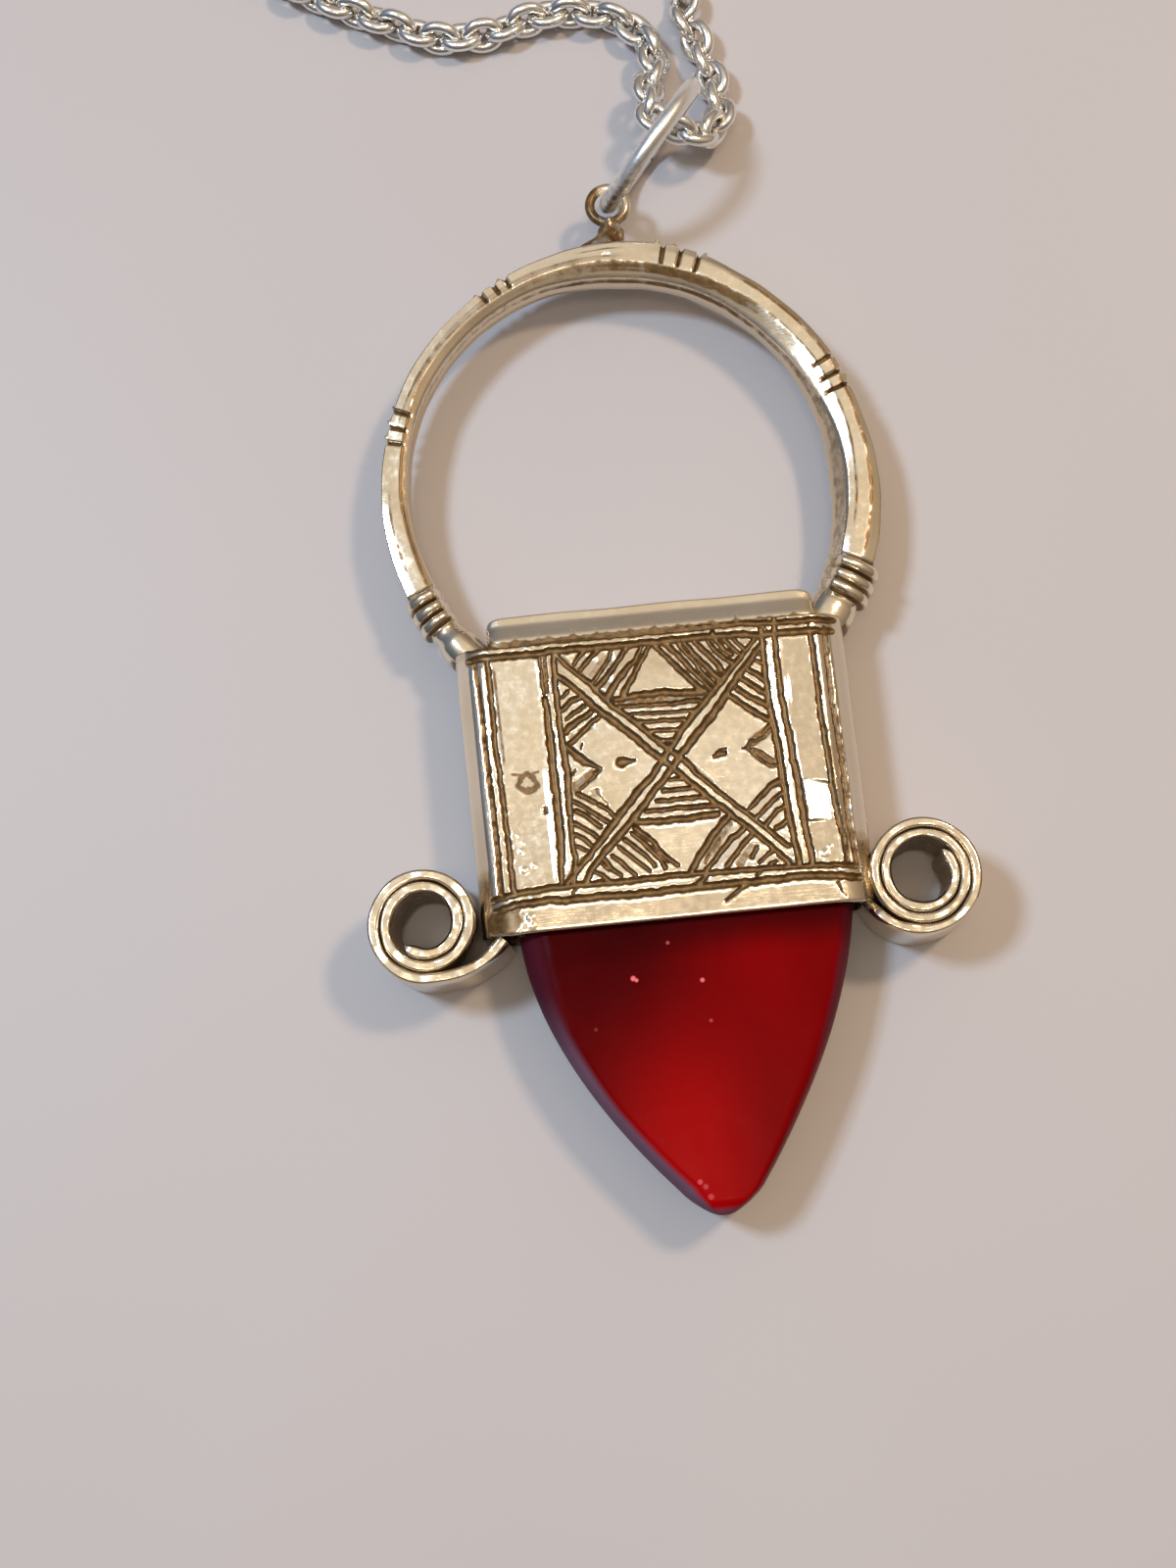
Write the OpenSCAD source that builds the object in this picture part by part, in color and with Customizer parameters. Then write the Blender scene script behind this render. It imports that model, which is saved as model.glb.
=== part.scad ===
// Silver pendant in the form of a cross, lying on its back, with its chain laid out in a loop.
// Millimetres. The origin is the centre of the case's flat back, on the surface it lies on.
// +Y runs up the pendant towards the hoop and the chain, +Z out of the engraved front.

/* [Case] */
// Width of the engraved case over its rounded sides
case_w = 19.6; // [18:0.1:22]
// Height of the case, without the bar on top
case_h = 14.5; // [12:0.1:17]
// Thickness of the case, front to back
case_t = 6.0; // [5:0.1:7]
// Radius of the case's rounded long edges
case_edge_r = 2.0; // [1:0.1:2.4]
// Thickness of the sheet that the case is made of
sheet = 0.6; // [0.5:0.05:0.8]
// Length of the bevelled bar on top of the case
bar_w = 16.4; // [14:0.1:16.8]
// Height of that bar
bar_h = 1.5; // [1:0.1:2]

/* [Engraving] */
// Width of an engraved line
line_w = 0.28; // [0.2:0.01:0.35]
// Depth of an engraved line
line_d = 0.12; // [0.08:0.01:0.2]
// Half the width of the square panel with the two diagonals
panel_half_w = 5.5; // [4:0.1:6]
// How far the panel stands to the right of the case's middle
panel_shift = 0.5; // [0:0.1:0.8]

/* [Hoop] */
// Radius of the hoop, to the middle of its bar
hoop_r = 11.9; // [10.5:0.1:13]
// Width of the forged bar, seen from the front
bar_wide = 2.1; // [1.6:0.1:2.6]
// Depth of the forged bar, front to back
bar_deep = 2.4; // [1.8:0.1:3]
// Angle between the hoop's top and each of its ends
hoop_half_angle = 129; // [124:1:132]
// Radius of the round collars near each end
collar_r = 1.28; // [1.25:0.01:1.4]

/* [Scrolls] */
// Distance from the middle of the case to the middle of each scroll
scroll_x = 12.4; // [12:0.1:13.5]
// Width of the coiled strip, front to back
strip_w = 5.4; // [3:0.1:5.8]
// Thickness of the coiled strip
strip_t = 0.4; // [0.3:0.01:0.42]
// Radius of the round hole in a scroll
scroll_hole_r = 1.6; // [1.4:0.02:1.7]

/* [Stone] */
// Width of the stone where it leaves the case
stone_w = 16.3; // [14:0.1:16.6]
// Length of the stone that shows below the case
stone_l = 14.4; // [12:0.1:16]
// Thickness of the stone
stone_t = 4.6; // [4:0.1:4.7]
// Width of the softened edge round the stone's face
stone_bevel = 0.9; // [0.5:0.1:1.2]

/* [Ring and chain] */
// Outer diameter of the jump ring
ring_d = 8.35; // [8:0.05:8.4]
// Thickness of the jump ring's wire
ring_wire = 0.95; // [0.8:0.05:1]
// Outer width of the chain
chain_w = 1.74; // [1.5:0.02:1.8]
// Outer diameter of the clasp's ring
clasp_d = 6.0; // [5:0.1:6.4]

/* [Hidden] */
eps = 0.01;
fit_gap = 0.1;

case_lift = 0.2;
case_top = case_h / 2 + case_lift;
case_foot = case_top - case_h;
mid_z = case_t / 2;
bar_lip = 0.25;
bar_bevel = 0.8;

// Engraved lines: how far the borders stand in from the case's edges, and from line to line
border_top = 0.7;
border_foot = 1.25;
line_gap = 0.6;

hoop_x = -0.15;
hoop_rise = 8.35;
hoop_y = case_top + hoop_rise;
groove_w = 0.24;
groove_r = min(bar_wide, bar_deep) / 2 - 0.13;
groove_step = 4;
groove_turns = [-71, -30, 17.5, 68];
collar_l = 0.62;
collar_out = 0.2;
collar_step = 4.2;
collar_first = 7;
stub_l = 2.1;
stub_r = 1.28;
bar_chamfer = 0.62;

eyelet_x = 0.15;
eyelet_wire = 0.5;
eyelet_r = 0.95;
eyelet_rise = 2.45;
eyelet_y = hoop_y + hoop_r + bar_wide / 2 + eyelet_rise;
solder_r = 1.3;
solder_l = 2.1;

scroll_rise = 1.15;
scroll_y = case_foot + scroll_rise;
coil_gap = 0.08;
scroll_pitch = strip_t + coil_gap;
right_turns = 2.375;
left_turns = 2.125;
coil_step = 9;
lead_steps = 7;
strip_z = mid_z - 0.1 - strip_w / 2;

stone_x = 0.3;
stone_side_r = 24;
stone_side_turn = 8;
stone_tip_r = 1.5;
stone_tip_shift = 0.45;
tang_w = stone_w - 0.4;
tang_lap = 0.4;
stone_z = mid_z - stone_t / 2;

// The jump ring's middle, the direction it faces, and the direction its plane rises in
ring_mid = [2.65, 33.73, 4.05];
ring_turn = -40.3;
ring_lean = 105.7;

chain_r = chain_w / 2;
chain_step = 3.8 * chain_w;
clasp_mid = [6, 205, 0.65];
clasp_wire = 1.3;
clasp_eye_wire = 0.6;
clasp_eye_d = 2.4;
clasp_lap = 0.35;

// The chain's route, from the clasp's eye round the left, through the jump ring, and back up
// the right to the clasp's ring. Each row is x, y and height above the surface that it lies on.
chain_far_left = [
    [0.6, 204.8, 0], [-12, 203, 0], [-30, 194, 0], [-45, 178, 0], [-54, 156, 0], [-57, 132, 0],
    [-54, 108, 0], [-46, 86, 0], [-34, 66, 0], [-20, 50, 0], [-10, 43.6, 0]];
chain_near = [
    [-6.0, 42.7, 0], [-3.0, 43.3, 0], [-0.6, 43.4, 0], [1.6, 42.8, 0], [3.0, 41.3, 0.1],
    [3.4, 39.5, 0.6], [2.9, 37.6, 1.6], [2.8, 36.1, 2.3], [4.0, 35.0, 2.3], [5.6, 34.8, 1.7],
    [6.5, 35.8, 0.9], [6.6, 37.5, 0.3], [6.3, 39.3, 0]];
chain_far_right = [
    [5.8, 41.2, 0], [5.4, 43.2, 0], [8.5, 50, 0], [19, 66, 0], [34, 82, 0], [48, 100, 0],
    [58, 120, 0], [61, 142, 0], [56, 164, 0], [44, 184, 0], [28, 198, 0], [9.5, 205, 0]];

// Where a repeated part stands on the hoop: turn is measured clockwise from the hoop's top
module on_hoop(turn) {
    translate([hoop_x, hoop_y, mid_z])
        rotate([0, 0, -turn])
            translate([0, hoop_r, 0])
                rotate([0, 90, 0])
                    children();
}

module hoop_bar() {
    w = bar_wide / 2;
    d = bar_deep / 2;
    c = bar_chamfer;
    translate([hoop_x, hoop_y, mid_z])
        rotate([0, 0, 90 - hoop_half_angle])
            rotate_extrude(angle = 2 * hoop_half_angle, $fn = 128)
                translate([hoop_r, 0])
                    polygon([[w, d - c], [w - c, d], [c - w, d], [-w, d - c],
                             [-w, c - d], [c - w, -d], [w - c, -d], [w, c - d]]);
}

// Three thin notches round the bar, filed at each of the named places
module filed_grooves() {
    for (turn = groove_turns, k = [-1, 0, 1])
        on_hoop(turn + k * groove_step)
            rotate_extrude($fn = 32)
                translate([groove_r, -groove_w / 2])
                    square([1, groove_w]);
}

// Three round collars near each end, which stand out on the hoop's outer side
module collars() {
    r = collar_r;
    l = collar_l / 2;
    round_off = 0.1;
    for (side = [-1, 1], k = [0, 1, 2])
        on_hoop(side * (hoop_half_angle - collar_first - k * collar_step))
            translate([0, collar_out, 0])
                rotate_extrude($fn = 32)
                    polygon([[0, -l], [r - 2 * round_off, -l], [r, round_off - l],
                             [r, l - round_off], [r - 2 * round_off, l], [0, l]]);
}

// The flared ends that stand on the case's upper corners
module stubs() {
    lap = 0.8;
    for (side = [-1, 1])
        on_hoop(side * (hoop_half_angle + 1))
            mirror([0, 0, side < 0 ? 1 : 0])
                translate([0, 0, -lap])
                    cylinder(h = stub_l, r1 = bar_wide / 2, r2 = stub_r, $fn = 32);
}

module hoop() {
    difference() {
        hoop_bar();
        filed_grooves();
    }
    collars();
    stubs();
}

// Outline of the case seen from below: a rectangle with rounded corners
module case_outline(inset = 0) {
    r = case_edge_r - inset;
    w = case_w / 2 - inset;
    for (side = [-1, 1], end = [inset + r, case_t - inset - r])
        translate([side * (w - r), end])
            circle(r = r, $fn = 48);
    translate([-w, inset + r])
        square([2 * w, case_t - 2 * inset - 2 * r]);
    translate([r - w, inset])
        square([2 * (w - r), case_t - 2 * inset]);
}

// Stands an outline drawn across the case along +Y, from one height to another
module along_y(from, to) {
    translate([0, to, 0])
        rotate([90, 0, 0])
            linear_extrude(to - from)
                children();
}

// The bar along the case's top, with its long edges bevelled
module top_bar() {
    d = case_t / 2 - 0.15;
    top_d = d - 1.5 * bar_bevel;
    translate([-bar_w / 2, case_top, mid_z])
        rotate([90, 0, 90])
            linear_extrude(bar_w)
                polygon([[-eps, d], [bar_lip, d], [bar_h - bar_lip, d - bar_bevel],
                         [bar_h, top_d], [bar_h, -top_d],
                         [bar_h - bar_lip, bar_bevel - d], [bar_lip, -d], [-eps, -d]]);
}

// One straight engraved line on the case's front, between two points
module engraved(a, b) {
    run = b - a;
    translate([a.x, a.y, case_t - line_d])
        rotate([0, 0, atan2(run.y, run.x)])
            translate([0, -line_w / 2, 0])
                cube([norm(run), line_w, 1]);
}

// The double lines along the borders, beside the panel and across it
module engraving() {
    edge = case_w / 2 - case_edge_r;
    top = case_top - border_top;
    foot = case_foot + border_foot;
    inner_foot = foot + line_gap;
    left = panel_shift - panel_half_w;
    right = panel_shift + panel_half_w;
    for (k = [0, line_gap]) {
        engraved([-edge, foot + k], [edge, foot + k]);
        engraved([left - k, inner_foot], [left - k, top]);
        engraved([right + k, inner_foot], [right + k, top]);
        engraved([left + k, top], [right, inner_foot + k]);
        engraved([right - k, top], [left, inner_foot + k]);
    }
    engraved([-edge, top], [edge, top]);
}

module case() {
    difference() {
        along_y(case_foot, case_top) case_outline();
        along_y(case_foot - 1, case_top - sheet) case_outline(sheet);
        engraving();
    }
    top_bar();
}

// Middle line of the coiled strip, for the scroll on the right. It winds out clockwise, and
// back is the angle that is left to the coil's lowest point, where the strip leaves the coil.
coil_end_r = scroll_hole_r + strip_t / 2 + scroll_pitch * right_turns;
function coil_point(back) =
    [scroll_x, scroll_y]
    + (coil_end_r - scroll_pitch * back / 360) * [sin(180 - back), cos(180 - back)];

// From the coil's lowest point in a curve up to the side wall of the case
lead_ends = [[scroll_x, scroll_y - coil_end_r], [scroll_x - 1.7, scroll_y - coil_end_r],
             [case_w / 2 - 0.4, case_foot - 1.1], [case_w / 2 - 0.65, case_foot + 1]];
function lead_point(t) =
    pow(1 - t, 3) * lead_ends[0] + 3 * t * pow(1 - t, 2) * lead_ends[1]
    + 3 * t * t * (1 - t) * lead_ends[2] + pow(t, 3) * lead_ends[3];

function strip_path(turns) = concat(
    [for (back = [360 * turns:-coil_step:0]) coil_point(back)],
    [for (k = [1:lead_steps]) lead_point(k / lead_steps)]);

// Unit vector to the left of the path at point i, averaged over its two neighbours
function path_side(path, i) =
    let (a = path[max(i - 1, 0)], b = path[min(i + 1, len(path) - 1)], d = (b - a) / norm(b - a))
    [-d.y, d.x];

module scroll(turns) {
    path = strip_path(turns);
    n = len(path);
    translate([0, 0, strip_z])
        linear_extrude(strip_w)
            polygon(concat(
                [for (i = [0:n - 1]) path[i] + path_side(path, i) * strip_t / 2],
                [for (i = [n - 1:-1:0]) path[i] - path_side(path, i) * strip_t / 2]));
}

module eyelet() {
    translate([eyelet_x, eyelet_y, mid_z])
        rotate_extrude($fn = 48)
            translate([eyelet_r, 0])
                circle(d = eyelet_wire, $fn = 24);
    // solder foot, from the hoop up to the wire
    translate([eyelet_x, eyelet_y - eyelet_r, mid_z])
        rotate([90, 0, 0])
            cylinder(h = solder_l, r1 = 0.4, r2 = solder_r, $fn = 32);
}

module setting() {
    color("silver") {
        case();
        hoop();
        scroll(right_turns);
        mirror([1, 0, 0]) scroll(left_turns);
        eyelet();
    }
}

// The stone's outline below the case: two shallow arcs that meet in a rounded tip
module stone_outline(inset = 0) {
    r = stone_side_r;
    side_x = stone_w / 2 - r * cos(stone_side_turn);
    side_y = r * sin(stone_side_turn);
    tip_y = stone_tip_r - stone_l;
    hull() {
        intersection() {
            translate([side_x, side_y]) circle(r = r - inset, $fn = 180);
            translate([-side_x, side_y]) circle(r = r - inset, $fn = 180);
            translate([-stone_w, tip_y + 0.6]) square([2 * stone_w, -tip_y - 0.6]);
        }
        translate([stone_tip_shift, tip_y]) circle(r = stone_tip_r - inset, $fn = 24);
    }
}

module stone() {
    core = 2 * stone_bevel;
    color("firebrick")
        translate([stone_x, case_foot, stone_z]) {
            hull() {
                translate([0, 0, stone_bevel])
                    linear_extrude(stone_t - core) stone_outline();
                translate([0, 0, stone_bevel * 0.3])
                    linear_extrude(stone_t - stone_bevel * 0.6) stone_outline(stone_bevel * 0.35);
                linear_extrude(stone_t) stone_outline(stone_bevel);
            }
            // the part that the case holds
            translate([-tang_w / 2, -tang_lap, 0.05])
                cube([tang_w, case_h - sheet - fit_gap + tang_lap, stone_t - 0.1]);
        }
}

module jump_ring() {
    color("lightgray")
        translate(ring_mid)
            rotate([0, 0, ring_turn])
                rotate([0, ring_lean, 0])
                    rotate_extrude($fn = 96)
                        translate([(ring_d - ring_wire) / 2, 0])
                            circle(d = ring_wire, $fn = 32);
}

// A smooth curve through the route's points: cubic pieces with the slope of the neighbours
function route_at(p, i, t) =
    let (a = p[max(i - 1, 0)], b = p[i], c = p[i + 1], d = p[min(i + 2, len(p) - 1)])
    0.5 * (2 * b + (c - a) * t + (2 * a - 5 * b + 4 * c - d) * t * t
           + (3 * b - a - 3 * c + d) * t * t * t);
function route_points(p) = concat(
    [for (i = [0:len(p) - 2])
        let (steps = max(1, round(norm(p[i + 1] - p[i]) / chain_step)))
            for (k = [0:steps - 1]) route_at(p, i, k / steps)],
    [p[len(p) - 1]]);

// A tube with eight sides along a row of points, with closed ends
module tube(p, r) {
    sides = 8;
    n = len(p);
    ahead = [for (i = [0:n - 1])
        let (d = p[min(i + 1, n - 1)] - p[max(i - 1, 0)]) d / norm(d)];
    across = [for (d = ahead) let (c = cross(d, [0, 0, 1])) c / norm(c)];
    points = [for (i = [0:n - 1], k = [0:sides - 1])
        let (a = 22.5 + 360 * k / sides, up = cross(across[i], ahead[i]))
            p[i] + r * (cos(a) * across[i] + sin(a) * up)];
    walls = [for (i = [0:n - 2], k = [0:sides - 1])
        let (j = (k + 1) % sides)
            [i * sides + k, i * sides + j, (i + 1) * sides + j, (i + 1) * sides + k]];
    polyhedron(points, concat([[for (k = [sides - 1:-1:0]) k]], walls,
                              [[for (k = [0:sides - 1]) (n - 1) * sides + k]]));
}

module chain() {
    flat_r = chain_r * cos(22.5);
    route = concat(chain_far_left, chain_near, chain_far_right);
    color("gainsboro")
        tube([for (p = route_points(route)) p + [0, 0, flat_r]], chain_r);
}

module clasp() {
    eye_x = (clasp_d + clasp_eye_d) / 2 - clasp_lap;
    color("lightgray")
        translate(clasp_mid) {
            rotate_extrude($fn = 64)
                translate([(clasp_d - clasp_wire) / 2, 0])
                    circle(d = clasp_wire, $fn = 24);
            translate([-eye_x, 0, 0])
                rotate_extrude($fn = 48)
                    translate([(clasp_eye_d - clasp_eye_wire) / 2, 0])
                        circle(d = clasp_eye_wire, $fn = 24);
        }
}

setting();
stone();
jump_ring();
chain();
clasp();
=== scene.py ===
import bpy
import numpy as np
from mathutils import Matrix, Vector


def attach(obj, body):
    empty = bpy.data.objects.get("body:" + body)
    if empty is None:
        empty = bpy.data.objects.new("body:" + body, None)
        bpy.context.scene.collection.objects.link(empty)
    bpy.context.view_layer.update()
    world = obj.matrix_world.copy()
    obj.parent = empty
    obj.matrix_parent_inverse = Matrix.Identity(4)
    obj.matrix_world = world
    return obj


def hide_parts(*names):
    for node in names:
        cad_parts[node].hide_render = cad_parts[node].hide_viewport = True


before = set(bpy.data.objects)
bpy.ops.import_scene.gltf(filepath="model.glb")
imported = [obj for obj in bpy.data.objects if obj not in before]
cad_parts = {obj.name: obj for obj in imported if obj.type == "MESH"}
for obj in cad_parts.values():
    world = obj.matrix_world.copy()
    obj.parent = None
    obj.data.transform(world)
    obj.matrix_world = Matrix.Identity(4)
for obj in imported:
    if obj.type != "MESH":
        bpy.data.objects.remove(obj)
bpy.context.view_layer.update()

# Cross pendant of engraved silver with a red glass point, on its jump ring and chain.
# Shapes are worked out in millimetres and put into the meshes in metres.
mm = 0.001
print("frame loaded:", sorted(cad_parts))


# Small tools for numbers

# Goes smoothly from 0 to 1 while x goes from low to high: 3t^2 - 2t^3, with t held between 0 and 1.
# With low above high it falls from 1 to 0 as x grows.
def softStep(x, low, high):
    t = np.clip((x - low) / (high - low), 0, 1)
    return t * t * (3 - 2 * t)


# Rises from a to b and falls again from c to d: the product of two smooth steps.
def softBand(x, a, b, c, d):
    return softStep(x, a, b) * softStep(x, d, c)


# A smooth bump of height 1 at x = at, gone at distance half: (1 - d^2)^2.
def bump(x, at, half):
    d = np.clip((x - at) / half, -1, 1)
    return (1 - d * d) ** 2


# The same bump round a point: it takes the distance from the point.
def roundBump(x, y, atX, atY, half):
    return bump(np.hypot(x - atX, y - atY), 0, half)


# A round end, t from its tip: a quarter circle, sqrt(1 - (1 - t)^2), with t held between 0 and 1.
def roundEnd(t):
    return np.sqrt(1 - (1 - np.clip(t, 0, 1)) ** 2)


# The largest of several values at each point.
def largest(*values):
    return np.maximum.reduce(np.broadcast_arrays(*values))


# Smooth values through table rows: each span is a cubic with the slope of its two neighbours.
def smoothTable(x, xs, ys):
    slopes = np.gradient(ys, xs)
    i = np.clip(np.searchsorted(xs, x) - 1, 0, len(xs) - 2)
    h = xs[i + 1] - xs[i]
    t = np.clip((x - xs[i]) / h, 0, 1)
    a = (2 * t ** 3 - 3 * t ** 2 + 1) * ys[i] + (t ** 3 - 2 * t ** 2 + t) * h * slopes[i]
    b = (3 * t ** 2 - 2 * t ** 3) * ys[i + 1] + (t ** 3 - t ** 2) * h * slopes[i + 1]
    return a + b


# A smooth curve through points: cubic pieces with the slope of the neighbours, some steps in each.
def smoothRoute(points, steps):
    p = np.array(points, float)
    a = np.vstack([p[:1], p[:-1]])[:-1, None]
    b = p[:-1, None]
    c = p[1:, None]
    d = np.vstack([p[2:], p[-1:]])[:, None]
    t = np.linspace(0, 1, steps, endpoint=False)[None, :, None]
    q = 0.5 * (2 * b + (c - a) * t + (2 * a - 5 * b + 4 * c - d) * t ** 2
               + (3 * b - a - 3 * c + d) * t ** 3)
    return np.vstack([q.reshape(-1, p.shape[1]), p[-1:]])


# Distance along a row of points: the sum of the steps up to each one.
def lengthAlong(p):
    return np.concatenate([[0], np.cumsum(np.linalg.norm(np.diff(p, axis=0), axis=1))])


# The points of a row at given distances along it, in between by straight lines.
def pointsAt(p, s):
    along = lengthAlong(p)
    return np.stack([np.interp(s, along, p[:, k]) for k in range(p.shape[1])], -1)


# Directions of length 1: each vector over its own length.
def unit(v):
    return v / np.linalg.norm(v, axis=-1, keepdims=True)


# Polygons given by their corners (rows, corners, 2): points along the edges, then the corners are
# softened by averaging each point with its neighbours a few times.
def softCorners(corners, perEdge, rounds):
    t = (np.arange(perEdge) / perEdge)[None, None, :, None]
    on = np.roll(corners, -1, axis=1)
    line = (corners[:, :, None] * (1 - t) + on[:, :, None] * t).reshape(len(corners), -1, 2)
    for _ in range(rounds):
        line = 0.5 * line + 0.25 * (np.roll(line, 1, axis=1) + np.roll(line, -1, axis=1))
    return line


# Small tools for meshes

# Quads between neighbours of a grid. The last column joins up with the first, and the rows may too.
def gridQuads(rows, cols, joinRows):
    i = np.arange(rows if joinRows else rows - 1)[:, None]
    j = np.arange(cols)[None, :]
    up = (i + 1) % rows
    on = (j + 1) % cols
    quads = np.stack([i * cols + j, i * cols + on, up * cols + on, up * cols + j], -1)
    return quads.reshape(-1, 4)


# Puts points (mm), quads and triangles into a mesh whose faces point outwards: the sum of
# a . (b x c) over its triangles is six times its volume, so a negative sum turns the faces round.
def putMesh(name, points, quads, tris, values, sharp):
    corners = np.vstack([quads[:, :3], quads[:, [0, 2, 3]], tris])
    a, b, c = (points[corners[:, k]] for k in range(3))
    if np.sum(a * np.cross(b, c)) < 0:
        quads = quads[:, ::-1]
        tris = tris[:, ::-1]
    mesh = bpy.data.meshes.new(name)
    mesh.vertices.add(len(points))
    mesh.vertices.foreach_set("co", (points * mm).astype(np.float32).ravel())
    loops = np.concatenate([quads.ravel(), tris.ravel()]).astype(np.int32)
    starts = np.concatenate([np.arange(len(quads)) * 4, len(quads) * 4 + np.arange(len(tris)) * 3])
    mesh.loops.add(len(loops))
    mesh.loops.foreach_set("vertex_index", loops)
    mesh.polygons.add(len(starts))
    mesh.polygons.foreach_set("loop_start", starts.astype(np.int32))
    mesh.update(calc_edges=True)
    mesh.polygons.foreach_set("use_smooth", np.ones(len(starts), bool))
    for key, value in values.items():
        layer = mesh.attributes.new(key, "FLOAT", "POINT")
        layer.data.foreach_set("value", value.astype(np.float32))
    mesh.set_sharp_from_angle(angle=np.radians(sharp))
    piece = bpy.data.objects.new(name, mesh)
    bpy.context.scene.collection.objects.link(piece)
    return piece


noTris = np.zeros((0, 3), int)


# A grid of points (rows, columns, xyz) as a closed surface. An open end gets a fan to its row's
# middle. The values (patina and the like) are held between 0 and 1.
def surface(name, grid, values, sharp, joinRows=False):
    rows, cols = grid.shape[:2]
    points = grid.reshape(-1, 3)
    quads = gridQuads(rows, cols, joinRows)
    values = {key: np.clip(np.broadcast_to(v, (rows, cols)), 0, 1).ravel() for key, v in values.items()}
    if joinRows:
        return putMesh(name, points, quads, noTris, values, sharp)
    j = np.arange(cols)
    on = (j + 1) % cols
    last = (rows - 1) * cols
    first = np.stack([on, j, np.full(cols, rows * cols)], -1)
    end = np.stack([last + j, last + on, np.full(cols, rows * cols + 1)], -1)
    points = np.vstack([points, grid[0].mean(0), grid[-1].mean(0)])
    values = {key: np.append(v, [v[:cols].mean(), v[last:].mean()]) for key, v in values.items()}
    return putMesh(name, points, quads, np.vstack([first, end]), values, sharp)


# A piece rides on the one body, stands for its CAD node, and has a material.
def finishPiece(piece, node, material):
    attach(piece, "root")
    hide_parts(node)
    piece.data.materials.append(material)
    print("made", piece.name, len(piece.data.polygons), "faces")


# Small tools for materials

# A new material, with its nodes and its shader.
def newMaterial(name):
    material = bpy.data.materials.new(name)
    material.use_nodes = True
    tree = material.node_tree
    return material, tree, tree.nodes["Principled BSDF"]


# Adds one node and gives its output. An input takes a number, a colour or another node's output;
# settings are the node's own.
def addNode(tree, kind, output, inputs, **settings):
    node = tree.nodes.new("ShaderNode" + kind)
    for key, value in settings.items():
        setattr(node, key, value)
    for key, value in inputs.items():
        if isinstance(value, bpy.types.NodeSocket):
            tree.links.new(value, node.inputs[key])
        else:
            node.inputs[key].default_value = value
    return node.outputs[output]


# Where on the piece, in metres.
def objectCoords(tree):
    return addNode(tree, "TexCoord", "Object", {})


# A value that the mesh holds at each of its points.
def attribute(tree, name):
    return addNode(tree, "Attribute", "Fac", {}, attribute_name=name)


# Cloudy noise, with about scale patches a metre.
def noiseAt(tree, coords, scale, detail=3.0, roughness=0.5):
    inputs = {"Vector": coords, "Scale": scale, "Detail": detail, "Roughness": roughness}
    return addNode(tree, "TexNoise", "Fac", inputs)


# Carries a range of values over to another, and holds it there.
def mapRange(tree, value, fromMin, fromMax, toMin=0.0, toMax=1.0):
    inputs = {"Value": value, "From Min": fromMin, "From Max": fromMax, "To Min": toMin, "To Max": toMax}
    return addNode(tree, "MapRange", "Result", inputs)


# Noise mostly lies between 0.3 and 0.7: this spreads it over a range of its own.
def spread(tree, noise, toMin=0.0, toMax=1.0):
    return mapRange(tree, noise, 0.3, 0.7, toMin, toMax)


# One sum with two values.
def mathOf(tree, operation, a, b):
    return addNode(tree, "Math", "Value", {0: a, 1: b}, operation=operation)


# Colours are given as (red, green, blue).
def mixColour(tree, amount, a, b):
    a, b = ((*v, 1.0) if isinstance(v, tuple) else v for v in (a, b))
    return addNode(tree, "Mix", 2, {0: amount, 6: a, 7: b}, data_type="RGBA")


# Shades the surface as if it stood up by 0.04 mm * height.
def bumpOf(tree, height, strength):
    inputs = {"Height": height, "Strength": strength, "Distance": 0.04 * mm}
    return addNode(tree, "Bump", "Normal", inputs)


# The patterns in the silver's finish
silverTexture = {
    # how fine each pattern is, per metre
    "clouds": 260, "fine": 2600, "grain": 9000, "scratches": (900, 14000, 900), "scratchTurn": (0, 0, 0.6),
    # how far the fine noise frays the tarnish, and from where to where the metal turns dark
    "fray": 0.22, "darkFrom": 0.28, "darkTo": 0.72,
    "darkMetal": 0.5, "darkRough": 0.22, "rougher": 0.07, "smoother": 0.05,
    "scratchHeight": 0.5, "fineHeight": 0.6, "grainHeight": 0.25,
}
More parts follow.
